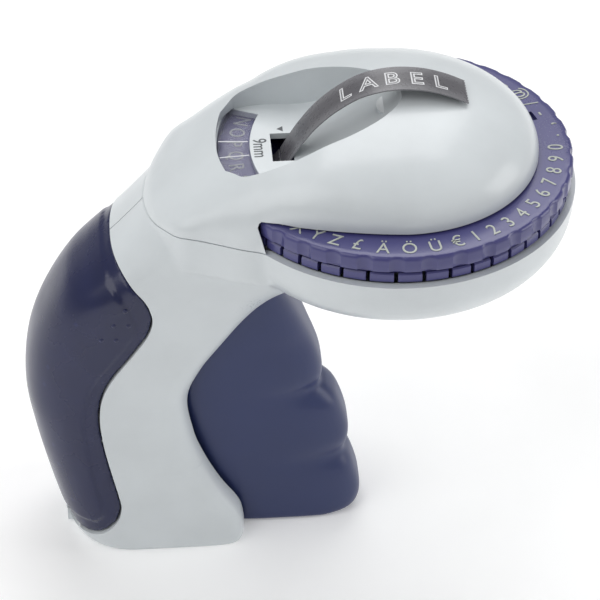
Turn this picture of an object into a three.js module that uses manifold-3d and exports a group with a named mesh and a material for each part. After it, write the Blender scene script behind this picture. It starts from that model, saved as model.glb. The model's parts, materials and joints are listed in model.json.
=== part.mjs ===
// Hand-held embossing label maker: a pistol handle with a squeeze trigger and a tape door,
// under a round head with a letter wheel. Millimetres, +Z up, +X towards the head. The object is
// nearly mirrored about the plane y = 0. Dimensions count x from the middle of the foot, and the
// finished group is moved so that the origin is on the floor under the middle of its length.
import * as THREE from 'three';
import { LoftGeometry } from 'three/addons/geometries/LoftGeometry.js';
import { mergeVertices } from 'three/addons/utils/BufferGeometryUtils.js';
import Module from 'manifold-3d';

const wasm = await Module();
wasm.setup();

// ---------------------------------------------------------------- driving dimensions
const WALL = 2;                // thickness of the moulded shells
const GAP = 0.3;               // space left between neighbouring pieces
const TAPE_WIDTH = 9;          // embossing tape
const TAPE_THICKNESS = 0.3;
const WHEEL_X = 56;            // the wheel turns about a vertical axis here
const WHEEL_RADIUS = 41;
const WHEEL_TOP = 105.5;
const DISC_PARTING = 101.15;   // height at which the tape runs between the two discs
const DISC_BOTTOM = 98.2;
const RING_BORE = 30.2;        // hole in the upper disc that the tape comes up through
const BOWL_RADIUS = 42;
const BOWL_BOTTOM = 82;
const BOWL_CORNER = 12.6;
const SEAM_Z = 98;             // parting line between the shells and the top cover
const DOME_RADIUS = 33;
const DOME_BASE = 106.5;
const DOME_RISE = 15.2;
const WHEEL_OPENING_X = 23.8;  // the cover is open round the wheel from here forward
const WHEEL_ROOM = 41.6;       // radius kept free for the wheel inside the cover
const RECESS_FLOOR = 107.5;
const LENS_INNER = 33.4;
const LENS_OUTER = 41;
const LENS_HALF_ANGLE = 23.5 * Math.PI / 180;
const SLOT_FRONT = 32.5;
const SLOT_REAR = 27.5;
const SLOT_HALF_WIDTH = 5.4;
const TRIGGER_HALF_WIDTH = 9.8;
const TRIGGER_SLOT_HALF_WIDTH = 10.6;
const TRIGGER_PIVOT = [20.5, 73];
const DOOR_HINGE = [-23, 5.4];
const DOOR_HEEL = 2.3;         // room round the hinge for the door's lower edge as it swings
const EAR_INNER = 4.4;         // the two hinge ears stand between these half-widths
const EAR_OUTER = 6.4;
const EAR_RADIUS = 1.3;
const REEL_CENTRE = [-10.5, 45];
const REEL_RADIUS = 16.3;
const FEED_CENTRE = [3.6, 88.6];
const FEED_RADIUS = 5;
const PRESSURE_CENTRE = [13, 88.6];
const PRESSURE_RADIUS = 3.5;
const LEVER_PIVOT = [4, 79.6];
const HAMMER_X = 25;
const HAMMER_SIDE = 5;
const AXLE_RADIUS = 5;
const PIN_REACH = 15;          // half-length of the cross pins, which end inside the walls
const TRIGGER_PIN_REACH = 12.8;
const PIN_RADIUS = 1.3;
const TRIGGER_PIN_RADIUS = 1.5;
const DOOR_PIN_RADIUS = 0.65;
const PIN_BOSS_RADIUS = 3;
const SCREW_BOSS_RADIUS = 3.2;
const SCREW_RADIUS = 1.4;
const SCREW_HEAD_RADIUS = 2.7;
const SCREW_HEAD_HEIGHT = 1.6;
const SCREW_TIP = -8;          // the case screws end blind in the right shell
const AXLE_SCREW_RADIUS = 1.2;
const AXLE_SCREW_HEAD = 3.8;
const ORIGIN_X = 32.9;         // middle of the object's length, measured from the middle of the foot
const SCREW_PLACES = [[-6, 12], [2.5, 69.5], [91, 90]];
const SCREW_SEATS = [12.5, 12.5, 10.5];  // each screw's head bears on its boss at this y
const REACH = 140;             // past the object on every side, for cutting blocks

// Handle, section by section: height, rear, front, half-width.
const HANDLE = [
  [0, -21.3, 18.8, 17.6], [1.2, -22.8, 19.2, 18.1], [4, -24.2, 19.3, 18.3],
  [9, -25.7, 18.2, 18.1], [16, -27.4, 14, 17.8], [24, -29.1, 10.4, 17.5],
  [32, -30.6, 8.2, 17.2], [43, -32.1, 7, 17], [52, -31.6, 10.8, 17],
  [60, -29.8, 16.4, 17.2], [68, -26.3, 22.3, 17.7], [75.5, -21.5, 29.6, 18.3],
  [80.5, -16.5, 36, 18.8], [85.5, -10.9, 40, 19.2], [90, -6.6, 42, 19.5],
  [94.7, -2.4, 42, 19.7], [98, 0.4, 42, 19.7],
];
const HANDLE_REAR_ROUNDING = 15;
const FOOT_SQUARE_BELOW = 30;  // the front corners sharpen from this height down to the floor
const FLARE_START = [5, 71];   // the sides spread towards the wheel beyond this x, above this z
const FLARE_SLOPE = 0.414;

// Neck and dome, station by station along x: half-width, top height, squareness, spring line.
const COVER = [
  [-2.2, 2, 95.2, 2, 94], [-0.6, 10, 97.5, 2.2, 95], [2, 15.4, 100, 2.5, 96.5],
  [5.1, 19.6, 102.6, 2.8, 98], [10, 21.6, 106, 3.2, 98], [14.9, 23.7, 109.2, 3.4, 98],
  [20.6, 26.1, 112.4, 3.4, 98], [24, 26.6, 113.9, 3.3, 100], [27, 26.8, 114.9, 3.2, 105],
  [32, 28.7, 116.6, 3, 106.5], [37.5, 30.1, 118.9, 2.7, 106.5], [43.1, 31.3, 120.3, 2.4, 106.5],
  [49.9, 32.4, 121.3, 2.2, 106.5], [56, 33, 121.7, 2, 106.5],
];
const COVER_SKIRT = 88;        // the loft runs down past the seam and is trimmed there

// Front of the trigger from its foot to its top: three finger bulges. x, z pairs.
const TRIGGER_FRONT = [
  [44, 0.4], [47, 1.1], [48.6, 3.5], [48.7, 7], [47.6, 11.5], [46.3, 15.2], [44.7, 17.8],
  [45.5, 21], [45.8, 25], [44.7, 30], [42.7, 35], [40.4, 37.8], [38.6, 39.6], [39.3, 43],
  [39, 46.5], [37.9, 50.5], [35.2, 58], [32.4, 65], [29.6, 71], [27.6, 74], [25.4, 77],
];
const TRIGGER_REAR = [[16, 0.4], [14, 8], [8.5, 20], [5, 32], [3.4, 43], [5.5, 52], [9.5, 60],
  [15, 68], [16.4, 77]];

// ---------------------------------------------------------------- helpers
const powered = (value, exponent) => Math.sign(value) * Math.abs(value) ** exponent;

// Smooth value of column `column` of a table at `at`, through its rows (cubic Hermite).
function through(table, column, at, key = 0) {
  const last = table.length - 1;
  if (at <= table[0][key]) return table[0][column];
  if (at >= table[last][key]) return table[last][column];
  let i = 0;
  while (table[i + 1][key] < at) i += 1;
  const slope = (k) => {
    const a = table[Math.max(k - 1, 0)];
    const b = table[Math.min(k + 1, last)];
    return (b[column] - a[column]) / (b[key] - a[key]);
  };
  const span = table[i + 1][key] - table[i][key];
  const t = (at - table[i][key]) / span;
  const t2 = t * t;
  const t3 = t2 * t;
  return (2 * t3 - 3 * t2 + 1) * table[i][column] + (t3 - 2 * t2 + t) * span * slope(i)
    + (3 * t2 - 2 * t3) * table[i + 1][column] + (t3 - t2) * span * slope(i + 1);
}

// A closed three.js geometry as a solid that can be cut and joined.
function solid(geometry) {
  const bare = new THREE.BufferGeometry();
  const loose = geometry.index ? geometry.toNonIndexed() : geometry;
  bare.setAttribute('position', loose.getAttribute('position'));
  const merged = mergeVertices(bare, 1e-4);
  const vertProperties = new Float32Array(merged.getAttribute('position').array);
  const triVerts = new Uint32Array(merged.index.array);
  return new wasm.Manifold(new wasm.Mesh({ numProp: 3, vertProperties, triVerts }));
}

function geometryOf(body) {
  const mesh = body.getMesh();
  const geometry = new THREE.BufferGeometry();
  geometry.setAttribute('position', new THREE.BufferAttribute(mesh.vertProperties, 3));
  geometry.setIndex(new THREE.BufferAttribute(mesh.triVerts, 1));
  const flat = geometry.toNonIndexed();
  flat.computeVertexNormals();
  return flat;
}

const box = (x0, x1, y0, y1, z0, z1) => new THREE.BoxGeometry(x1 - x0, y1 - y0, z1 - z0)
  .translate((x0 + x1) / 2, (y0 + y1) / 2, (z0 + z1) / 2);

const shapeOf = (points) => new THREE.Shape(points.map(([a, b]) => new THREE.Vector2(a, b)));

// A side outline (x, z pairs, anticlockwise) made solid between two values of y.
function sideways(points, y0, y1) {
  const shape = Array.isArray(points) ? shapeOf(points) : points;
  return new THREE.ExtrudeGeometry(shape, { depth: y1 - y0, bevelEnabled: false, curveSegments: 12 })
    .rotateX(Math.PI / 2).translate(0, y1, 0);
}

// A plan outline (x, y) made solid between two heights.
function upwards(points, z0, z1) {
  const shape = Array.isArray(points) ? shapeOf(points) : points;
  return new THREE.ExtrudeGeometry(shape, { depth: z1 - z0, bevelEnabled: false, curveSegments: 10 })
    .translate(0, 0, z0);
}

// A round bar along y, or upright.
const barAcross = ([x, z], radius, y0, y1, sides = 14) => new THREE.CylinderGeometry(radius, radius,
  y1 - y0, sides).translate(x, (y0 + y1) / 2, z);
const barUpright = (x, y, radius, z0, z1, sides = 18) => new THREE.CylinderGeometry(radius, radius,
  z1 - z0, sides).rotateX(Math.PI / 2).translate(x, y, (z0 + z1) / 2);

// A turned piece about the wheel's axis, from a profile of radius, height pairs.
const turned = (profile, segments = 64) => new THREE.LatheGeometry(
  profile.map(([r, z]) => new THREE.Vector2(r, z)), segments)
  .rotateX(Math.PI / 2).translate(WHEEL_X, 0, 0);

function finish(colour, roughness, metalness = 0, opacity = 1) {
  return new THREE.MeshStandardMaterial({
    color: colour, roughness, metalness, opacity, transparent: opacity < 1,
  });
}

const housingPlastic = () => finish(0xd3dade, 0.42);
const wheelPlastic = () => finish(0x4a4683, 0.38);
const triggerPlastic = () => finish(0x3c4368, 0.55);
const doorPlastic = () => finish(0x33345a, 0.12, 0, 0.85);
const lensPlastic = () => finish(0x8c88ad, 0.15, 0, 0.45);
const innerPlastic = () => finish(0xd9d9d2, 0.5);
const tapeVinyl = () => finish(0x55545c, 0.35);
const steel = () => finish(0xa9adb2, 0.3, 1);

// ---------------------------------------------------------------- outer form
// One handle section as a ring: round at the rear, square-shouldered at the front.
function handleRing(z, inset) {
  const height = Math.max(z, HANDLE[0][0]);
  const rear = through(HANDLE, 1, height) + inset;
  const front = through(HANDLE, 2, height) - inset;
  const half = through(HANDLE, 3, height) - inset;
  const middle = rear + Math.min(HANDLE_REAR_ROUNDING, (front - rear) / 2) - inset / 2;
  const spread = Math.min(Math.max((z - FLARE_START[1]) / (SEAM_Z - FLARE_START[1]), 0), 1);
  const corner = 4.5 + 6 * Math.max(0, 1 - z / FOOT_SQUARE_BELOW);
  const points = [];
  const count = inset > 0 ? 16 : 32;
  for (let i = 0; i < count; i += 1) {
    const angle = i / count * 2 * Math.PI;
    const c = Math.cos(angle);
    const s = Math.sin(angle);
    const exponent = c > 0 ? 2 / corner : 2 / 2.4;
    const x = middle + (c > 0 ? front - middle : middle - rear) * powered(c, exponent);
    const flare = spread ** 1.2 * FLARE_SLOPE * Math.max(0, x - FLARE_START[0]);
    points.push(new THREE.Vector3(x, (half + flare) * powered(s, exponent), z));
  }
  return points;
}

function handleForm(inset, bottom) {
  const heights = HANDLE.map(([z]) => z)
    .filter((z, i) => z > bottom + 0.5 && (inset === 0 || i % 2 === 0));
  const rings = [bottom, ...heights].map((z) => handleRing(z, inset));
  return solid(new LoftGeometry(rings, { capStart: true, capEnd: true }));
}

// The bowl under the wheel, filled up to `top`.
function bowlForm(inset, top) {
  const corner = BOWL_CORNER - inset;
  const centre = [BOWL_RADIUS - 0.4 - BOWL_CORNER, BOWL_BOTTOM + BOWL_CORNER];
  const profile = [[0, BOWL_BOTTOM + inset]];
  for (let i = 0; i <= 4; i += 1) {
    const angle = -Math.PI / 2 + i / 4 * Math.PI / 2;
    profile.push([centre[0] + corner * Math.cos(angle), centre[1] + corner * Math.sin(angle)]);
  }
  profile.push([BOWL_RADIUS - inset, top], [0, top]);
  return solid(turned(profile, 48));
}

function coverSection(x, half, top, squareness, spring) {
  const points = [];
  const steps = 12;
  for (let i = 0; i <= steps; i += 1) {
    const angle = i / steps * Math.PI;
    const y = half * powered(Math.cos(angle), 2 / squareness);
    const z = spring + (top - spring) * powered(Math.sin(angle), 2 / squareness);
    points.push(new THREE.Vector3(x, y, z));
  }
  points.push(new THREE.Vector3(x, -half, COVER_SKIRT), new THREE.Vector3(x, half, COVER_SKIRT));
  return points;
}

// Neck and dome together. The front half of the dome is a flattened half-ball.
function coverForm(inset) {
  const rings = COVER.map(([x, half, top, squareness, spring]) => coverSection(
    x + (half < 16 ? inset : 0), Math.max(half - inset, 0.5), top - inset, squareness, spring));
  const reach = DOME_RADIUS - inset;
  for (const degrees of [20, 38, 54, 67, 78, 86, 89.5]) {
    const angle = degrees * Math.PI / 180;
    rings.push(coverSection(WHEEL_X + reach * Math.sin(angle), reach * Math.cos(angle),
      DOME_BASE + (DOME_RISE - inset) * Math.cos(angle), 2, DOME_BASE));
  }
  return solid(new LoftGeometry(rings, { capStart: true, capEnd: true }));
}

// Everything below the parting line, which dips at the back of the neck.
const belowSeam = (offset) => solid(sideways([
  [-60, -5], [120, -5], [120, SEAM_Z + offset], [7, SEAM_Z + offset], [2.5, 97 + offset],
  [-3, 94.6 + offset], [-60, 94.6 + offset],
], -60, 60));

// Side outline of the tape door; grown by `grow` for the opening that it sits in.
function doorRegion(grow) {
  const forward = [
    [-20.6, 4.4], [-17.6, 5.2], [-14.5, 7.2], [-12, 10.4], [-11, 14], [-11.5, 18], [-12.9, 25],
    [-14.2, 32], [-15, 39], [-15, 44], [-14.2, 48.5], [-12.4, 52.8], [-9.6, 57.2], [-6, 62.4],
    [-2.7, 68], [-1.7, 73], [-3.2, 78.2], [-6, 82], [-8.6, 84.6], [-11.4, 86.2],
  ].map(([x, z]) => [x + grow, z < 12 ? z - grow : z + (z > 76 ? grow : 0)]);
  return [[-60, 4.2 - grow], [-24, 4.2 - grow], ...forward, [-60, 100]];
}

// ---------------------------------------------------------------- housing
const bodyOuter = handleForm(0, 0).add(bowlForm(0, SEAM_Z + 2)).add(coverForm(0));
const bodyInner = handleForm(WALL, WALL).add(bowlForm(WALL, SEAM_Z + 2)).add(coverForm(WALL));
const wheelSpace = solid(barUpright(WHEEL_X, 0, WHEEL_ROOM, SEAM_Z - 0.1, DOME_BASE - 0.5, 60));

// The trigger comes out of the front of the handle through this opening.
const triggerSlot = () => solid(sideways([
  [4, -5], [60, -5], [60, 72], [30.6, 72], [28, 78], [13, 78], [6, 68], [-4, 50], [-2, 12], [4, 6],
], -TRIGGER_SLOT_HALF_WIDTH, TRIGGER_SLOT_HALF_WIDTH));

const screwHole = (place) => solid(barAcross(place, SCREW_RADIUS + GAP, SCREW_TIP - GAP, REACH));

// Both shells before they are parted: walls, screw bosses and pin bosses.
function shellPair() {
  let hull = bodyOuter.subtract(bodyInner).intersect(belowSeam(-GAP / 2));
  hull = hull.subtract(solid(barUpright(WHEEL_X, 0, 60, SEAM_Z - GAP / 2, 130)));
  const inside = bodyOuter.intersect(belowSeam(-2));
  const post = (place, radius, y0) => solid(barAcross(place, radius, y0, REACH, 18))
    .add(solid(barAcross(place, radius, -REACH, -y0, 18))).intersect(inside);
  for (const place of SCREW_PLACES) hull = hull.add(post(place, SCREW_BOSS_RADIUS, 0));
  for (const [place, reach] of [[TRIGGER_PIVOT, 11], [REEL_CENTRE, 12], [FEED_CENTRE, 11],
    [PRESSURE_CENTRE, 11], [LEVER_PIVOT, 11]]) hull = hull.add(post(place, PIN_BOSS_RADIUS, reach));
  hull = hull.add(solid(barUpright(WHEEL_X, 0, 8, BOWL_BOTTOM, 88)));
  hull = hull.subtract(triggerSlot()).subtract(solid(sideways(doorRegion(GAP), -60, 60)));
  for (const place of SCREW_PLACES) hull = hull.subtract(screwHole(place));
  const pinHole = (place, reach) => solid(barAcross(place, TRIGGER_PIN_RADIUS + GAP,
    -reach - GAP, reach + GAP));
  hull = hull.subtract(pinHole(TRIGGER_PIVOT, TRIGGER_PIN_REACH));
  for (const place of [REEL_CENTRE, FEED_CENTRE, PRESSURE_CENTRE, LEVER_PIVOT]) {
    hull = hull.subtract(pinHole(place, PIN_REACH));
  }
  SCREW_PLACES.forEach((place, i) => {
    hull = hull.subtract(solid(barAcross(place, SCREW_HEAD_RADIUS + GAP, SCREW_SEATS[i], REACH)));
  });
  hull = hull.subtract(solid(barUpright(WHEEL_X, 0, AXLE_RADIUS + 0.1, 84, 120)));
  hull = hull.subtract(solid(barUpright(WHEEL_X, 0, 2 * AXLE_SCREW_RADIUS, 70, 120)));
  hull = hull.subtract(solid(barUpright(WHEEL_X, 0, AXLE_SCREW_HEAD + 0.4, 70, 83.6)));
  hull = hull.subtract(solid(barAcross(DOOR_HINGE, DOOR_HEEL, -30, 30, 24)));
  for (const side of [-1, 1]) {
    const [y0, y1] = [side * EAR_INNER, side * EAR_OUTER].sort((a, b) => a - b);
    hull = hull.add(solid(barAcross(DOOR_HINGE, EAR_RADIUS, y0, y1)))
      .add(solid(box(DOOR_HINGE[0] - 1.1, DOOR_HINGE[0] + 1.2, y0, y1, 1, DOOR_HINGE[1])));
  }
  return hull.subtract(solid(barAcross(DOOR_HINGE, DOOR_PIN_RADIUS + GAP, -EAR_OUTER - 1,
    EAR_OUTER + 1)));
}

const largest = (body) => body.decompose().reduce((a, b) => (b.volume() > a.volume() ? b : a));
const shells = shellPair();
// Under the foot the right shell reaches across the middle, so that it carries the resting face.
const footTongue = (grow) => solid(box(-12 - grow, 3.4, -1, 3 + grow, -5, WALL + grow));
const rightShell = () => largest(shells.intersect(solid(box(-REACH, REACH, -REACH, -GAP / 2, -5, REACH))
  .add(footTongue(0))));
const leftShell = () => largest(shells.intersect(solid(box(-REACH, REACH, GAP / 2, REACH, -5, REACH)))
  .subtract(footTongue(GAP)));

// Plan of the recess in the dome that the finished label comes up through.
function recessPlan(grow) {
  const rearRadius = LENS_OUTER + 0.2 + grow;
  const points = [];
  for (let i = 0; i <= 8; i += 1) {
    const angle = (180 + 16 - i * 4) * Math.PI / 180;
    points.push([WHEEL_X + rearRadius * Math.cos(angle), -rearRadius * Math.sin(angle)]);
  }
  const side = [[18.5, 14], [20.3, 16], [24, 17], [28, 17.2], [32, 16.9], [36, 16.2], [40, 15.1],
    [44, 13.8], [48, 11.9], [52, 9.2], [55.4, 5.6], [57, 2.4]];
  const near = side.map(([x, y]) => [x + (x > 50 ? grow : 0), -y - grow]);
  const far = side.map(([x, y]) => [x + (x > 50 ? grow : 0), y + grow]).reverse();
  return [...near, ...far, ...points.filter(([, y]) => Math.abs(y) < 13)];
}

// Side view of the space above the recess floor and the ramp in front of the slot.
const recessAbove = (drop) => sideways([
  [8, 140], [8, RECESS_FLOOR - drop], [SLOT_FRONT, RECESS_FLOOR - drop], [37, 108.4 - drop],
  [42, 110.6 - drop], [47, 113.6 - drop], [52, 117.2 - drop], [56, 120.4 - drop],
  [60 + drop, 126], [60 + drop, 140],
], -40, 40);

const recessSpace = (grow, drop) => solid(upwards(recessPlan(grow), 100, 140))
  .intersect(solid(recessAbove(drop)));

function lensPlan(margin) {
  const angle = LENS_HALF_ANGLE - margin / LENS_OUTER;
  const shape = new THREE.Shape();
  shape.absarc(WHEEL_X, 0, LENS_OUTER - margin, Math.PI - angle, Math.PI + angle, false);
  shape.absarc(WHEEL_X, 0, LENS_INNER + margin, Math.PI + angle, Math.PI - angle, true);
  return shape;
}

function topCover() {
  const lowest = DOME_BASE - 0.5;
  const roomBelow = solid(barUpright(WHEEL_X, 0, 60, 80, lowest, 72));
  const pan = recessSpace(1.8, RECESS_FLOOR - lowest);
  let cover = bodyOuter.subtract(bodyInner.subtract(pan)).subtract(recessSpace(0, 0));
  cover = cover.subtract(belowSeam(GAP / 2)).subtract(wheelSpace);
  const front = solid(box(WHEEL_OPENING_X, 120, -60, 60, 80, lowest));
  cover = cover.subtract(front.intersect(roomBelow));
  cover = cover.add(solid(barUpright(WHEEL_X, 0, 4.6, 104.4, 118)).intersect(bodyOuter));
  cover = cover.subtract(solid(barUpright(WHEEL_X, 0, AXLE_SCREW_RADIUS + GAP, 100, 114)));
  cover = cover.subtract(solid(upwards(lensPlan(0), 100, 108)));
  cover = cover.subtract(solid(box(SLOT_REAR, SLOT_FRONT, -SLOT_HALF_WIDTH, SLOT_HALF_WIDTH, 100, 109)));
  return largest(cover);
}

const windowLens = () => solid(upwards(lensPlan(0.15), DOME_BASE - 0.4, RECESS_FLOOR));

// ---------------------------------------------------------------- tape door
function rearDoor() {
  const skin = handleForm(0, 0).subtract(handleForm(WALL - 0.1, 1));
  let door = skin.intersect(solid(sideways(doorRegion(0), -60, 60)));
  const above = handleForm(0, 0).subtract(skin);
  const catchTab = solid(box(-9, -5.4, -3, 3, 82.2, 84.2)).intersect(above);
  door = door.add(catchTab);
  for (const side of [-1, 1]) {
    const [y0, y1] = [side * (EAR_INNER - GAP), side * (EAR_OUTER + GAP)].sort((a, b) => a - b);
    door = door.subtract(solid(box(-28, -20, y0, y1, 3, DOOR_HINGE[1] + EAR_RADIUS + 0.4)));
  }
  const knuckle = solid(barAcross(DOOR_HINGE, EAR_RADIUS, GAP - EAR_INNER, EAR_INNER - GAP));
  return largest(door.add(knuckle)
    .subtract(solid(barAcross(DOOR_HINGE, DOOR_PIN_RADIUS + GAP, -EAR_OUTER, EAR_OUTER))));
}

const doorPin = () => solid(barAcross(DOOR_HINGE, DOOR_PIN_RADIUS, -EAR_OUTER, EAR_OUTER, 12));

// ---------------------------------------------------------------- trigger
function triggerRing(z, inset) {
  const front = through(TRIGGER_FRONT, 0, z, 1) - inset * 1.2;
  const rear = through(TRIGGER_REAR, 0, z, 1);
  const half = TRIGGER_HALF_WIDTH - inset;
  const back = inset ? rear - 12 : rear;
  const middle = (front + back) / 2;
  const points = [];
  const count = 18;
  for (let i = 0; i < count; i += 1) {
    const angle = (i + 0.5) / count * 2 * Math.PI;
    const x = middle + (front - middle) * powered(Math.cos(angle), Math.cos(angle) > 0 ? 0.62 : 0.3);
    points.push(new THREE.Vector3(x, half * powered(Math.sin(angle), 0.5), z));
  }
  return points;
}

function triggerForm(inset, bottom, top) {
  const heights = TRIGGER_FRONT.map(([, z]) => z)
    .filter((z, i) => z > bottom && z < top && (inset === 0 || i % 3 === 0));
  const rings = [bottom, ...heights, top].map((z) => triggerRing(z, inset));
  return solid(new LoftGeometry(rings, { capStart: true, capEnd: true }));
}

function trigger() {
  let body = triggerForm(0, TRIGGER_FRONT[0][1], 74);
  body = body.subtract(triggerForm(2.4, 2.6, 71));
  body = body.subtract(solid(sideways([[-30, 70.9], [-30, 2.7], [19, 2.7], [16, 12], [11, 24],
    [8.5, 38], [10, 52], [17, 64], [22, 70.9]].reverse(), -7.4, 7.4)));
  const boss = solid(barAcross(TRIGGER_PIVOT, 3.6, -TRIGGER_HALF_WIDTH, TRIGGER_HALF_WIDTH, 20));
  body = body.add(boss).subtract(solid(barAcross(TRIGGER_PIVOT, TRIGGER_PIN_RADIUS + 0.4, -20, 20)));
  return largest(body);
}

const triggerPin = () => solid(barAcross(TRIGGER_PIVOT, TRIGGER_PIN_RADIUS, -TRIGGER_PIN_REACH,
  TRIGGER_PIN_REACH));

// A wire bent round a curve, as one closed solid.
function wire(points, radius, steps, sides = 4) {
  const curve = new THREE.CatmullRomCurve3(points);
  const section = new THREE.Shape();
  section.absarc(0, 0, radius, 0, 2 * Math.PI, false);
  return new THREE.ExtrudeGeometry(section, {
    steps, curveSegments: sides / 2, bevelEnabled: false, extrudePath: curve,
  });
}

// A compression spring whose coils run from `start` along `direction` for `length`.
function coilSpring(start, direction, length, radius, turns, thickness) {
  const points = [];
  const along = new THREE.Vector3(...direction).normalize();
  const across = new THREE.Vector3(0, 1, 0);
  const other = new THREE.Vector3().crossVectors(along, across);
  const perTurn = 8;
  for (let i = 0; i <= turns * perTurn; i += 1) {
    const angle = i / perTurn * 2 * Math.PI;
    points.push(new THREE.Vector3(...start).addScaledVector(along, length * i / (turns * perTurn))
      .addScaledVector(across, radius * Math.cos(angle))
      .addScaledVector(other, radius * Math.sin(angle)));
  }
  return solid(wire(points, thickness, turns * perTurn));
}

const triggerSpring = () => coilSpring([2.4, 0, 22], [1, 0, 0], 38.6, 2.6, 8, 0.45);

// Post on the floor of the handle that the trigger's return spring pushes against.
const springSeat = () => solid(box(-2, 1.6, -5, 5, WALL + GAP, 26.4))
  .add(solid(barAcross([-0.2, 22], 1.8, -5, 5)));

// ---------------------------------------------------------------- press lever, hammer
function pressLever() {
  const side = [[-3.6, 79], [1, 77.8], [20, 78.2], [20, 81.6], [8, 82.2], [-3.6, 81.6]];
  const pawl = [[-3.6, 79], [-0.8, 79], [-2.3, 88.2], [-3.4, 89.6]];
  const bridge = [[13, 78.1], [28.5, 78.4], [28.5, 81.2], [16, 81.6], [13, 81.7]];
  return solid(sideways(side, 5.2, 8)).add(solid(sideways(side, -8, -5.2)))
    .add(solid(sideways(bridge, -8, 8))).add(solid(sideways(pawl, 6.2, 8)))
    .subtract(solid(barAcross(LEVER_PIVOT, PIN_RADIUS + GAP, -20, 20)));
}

// A plain cross pin that a lever or roller turns on.
const crossPin = (place) => solid(barAcross(place, PIN_RADIUS, -PIN_REACH, PIN_REACH));

function hammer() {
  const half = HAMMER_SIDE / 2;
  const stem = box(HAMMER_X - half, HAMMER_X + half, -half, half, 81.7, 94);
  const head = box(HAMMER_X - 2, HAMMER_X + 2, -4.2, 4.2, 93, 95.2);
  return solid(stem).add(solid(head));
}

function hammerGuide() {
  const half = HAMMER_SIDE / 2 + GAP;
  return solid(box(HAMMER_X - 6.5, HAMMER_X + 6.5, -13, 13, 88, 91))
    .subtract(solid(box(HAMMER_X - half, HAMMER_X + half, -half, half, 80, 95)));
}

// ---------------------------------------------------------------- letter wheel
const POSITIONS = 50;

// A ring whose edge is cut by radial slots, so that each letter has its own finger.
function fingeredRing(outer, inner, slotDepth, slotWidth, z0, z1) {
  const outline = [];
  const bite = slotWidth / 2 / outer;
  const shallow = outer - slotDepth;
  for (let i = 0; i < POSITIONS; i += 1) {
    const middle = i / POSITIONS * 2 * Math.PI;
    const next = (i + 1) / POSITIONS * 2 * Math.PI;
    for (const [r, angle] of [[shallow, middle - bite], [shallow, middle + bite],
      [outer, middle + bite], [outer, next - bite]]) {
      outline.push([WHEEL_X + r * Math.cos(angle), r * Math.sin(angle)]);
    }
  }
  const shape = shapeOf(outline);
  const hole = new THREE.Path();
  hole.absarc(WHEEL_X, 0, inner, 0, 2 * Math.PI, true);
  shape.holes.push(hole);
  return solid(new THREE.ExtrudeGeometry(shape, { depth: z1 - z0, bevelEnabled: false, curveSegments: 20 })
    .translate(0, 0, z0));
}

function upperWheelDisc() {
  const low = DISC_PARTING + 0.35;
  const profile = [[RING_BORE, low], [WHEEL_RADIUS - 0.4, low], [WHEEL_RADIUS, low + 0.4],
    [WHEEL_RADIUS, WHEEL_TOP - 0.9], [WHEEL_RADIUS - 0.86, WHEEL_TOP], [RING_BORE, WHEEL_TOP],
    [RING_BORE, low]];
  return solid(turned(profile, 60));
}

function lowerWheelDisc() {
  const top = DISC_PARTING - 0.35;
  const plate = turned([[AXLE_RADIUS + 0.3, 95.4], [9, 95.4], [9, DISC_BOTTOM + 0.6],
    [33, DISC_BOTTOM + 0.6], [33, top], [9, top], [9, 103], [AXLE_RADIUS + 0.3, 103],
    [AXLE_RADIUS + 0.3, 95.4]], 36);
  return fingeredRing(WHEEL_RADIUS - 0.6, 30, 6, 1, DISC_BOTTOM, top).add(solid(plate));
}

function wheelAxle() {
  return solid(barUpright(WHEEL_X, 0, AXLE_RADIUS, 84.3, 104.1, 32))
    .subtract(solid(barUpright(WHEEL_X, 0, 2.3, 80, 110)));
}

function axleScrew() {
  return solid(barUpright(WHEEL_X, 0, AXLE_SCREW_HEAD, 82.1, 83.4))
    .add(solid(barUpright(WHEEL_X, 0, AXLE_SCREW_RADIUS, 83, 112)));
}

// Leaf spring that clicks into the wheel at each letter.
function indexSpring() {
  const outline = [[84.5, -9], [85.3, -9], [89.6, 0], [85.3, 9], [84.5, 9], [88.8, 0]];
  return solid(upwards(outline, 93.6, 95.9)).add(solid(barUpright(89.1, 0, 0.9, 95, 97.6, 12)));
}

// ---------------------------------------------------------------- tape and its drive
function feedRoller() {
  const [x, z] = FEED_CENTRE;
  const teeth = [];
  const count = 12;
  for (let i = 0; i < count; i += 1) {
    const angle = i / count * 2 * Math.PI;
    const later = angle + 2 * Math.PI / count * 0.92;
    teeth.push([x + 4.2 * Math.cos(angle), z + 4.2 * Math.sin(angle)]);
    teeth.push([x + 5.2 * Math.cos(later), z + 5.2 * Math.sin(later)]);
  }
  return solid(barAcross(FEED_CENTRE, FEED_RADIUS, -5.6, 5.6, 24))
    .add(solid(barAcross(FEED_CENTRE, 2.9, -9.6, 9.6)))
    .add(solid(sideways(teeth, 6.2, 8)))
    .subtract(solid(barAcross(FEED_CENTRE, PIN_RADIUS + GAP, -20, 20)));
}

function pressureRoller() {
  return solid(barAcross(PRESSURE_CENTRE, PRESSURE_RADIUS, -5.6, 5.6, 24))
    .add(solid(barAcross(PRESSURE_CENTRE, 2.5, -9.6, 9.6)))
    .subtract(solid(barAcross(PRESSURE_CENTRE, PIN_RADIUS + GAP, -20, 20)));
}

function tapeReel() {
  const hub = solid(barAcross(REEL_CENTRE, 6, -5.9, 5.9, 28));
  const flange = (y0) => solid(barAcross(REEL_CENTRE, REEL_RADIUS + 1, y0, y0 + 0.9, 30));
  return hub.add(flange(-5.9)).add(flange(5)).subtract(solid(barAcross(REEL_CENTRE, 3.3, -20, 20)));
}

function tapeCoil() {
  const half = TAPE_WIDTH / 2;
  return solid(barAcross(REEL_CENTRE, REEL_RADIUS, -half, half, 30))
    .subtract(solid(barAcross(REEL_CENTRE, 6.3, -20, 20, 28)));
}

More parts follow.
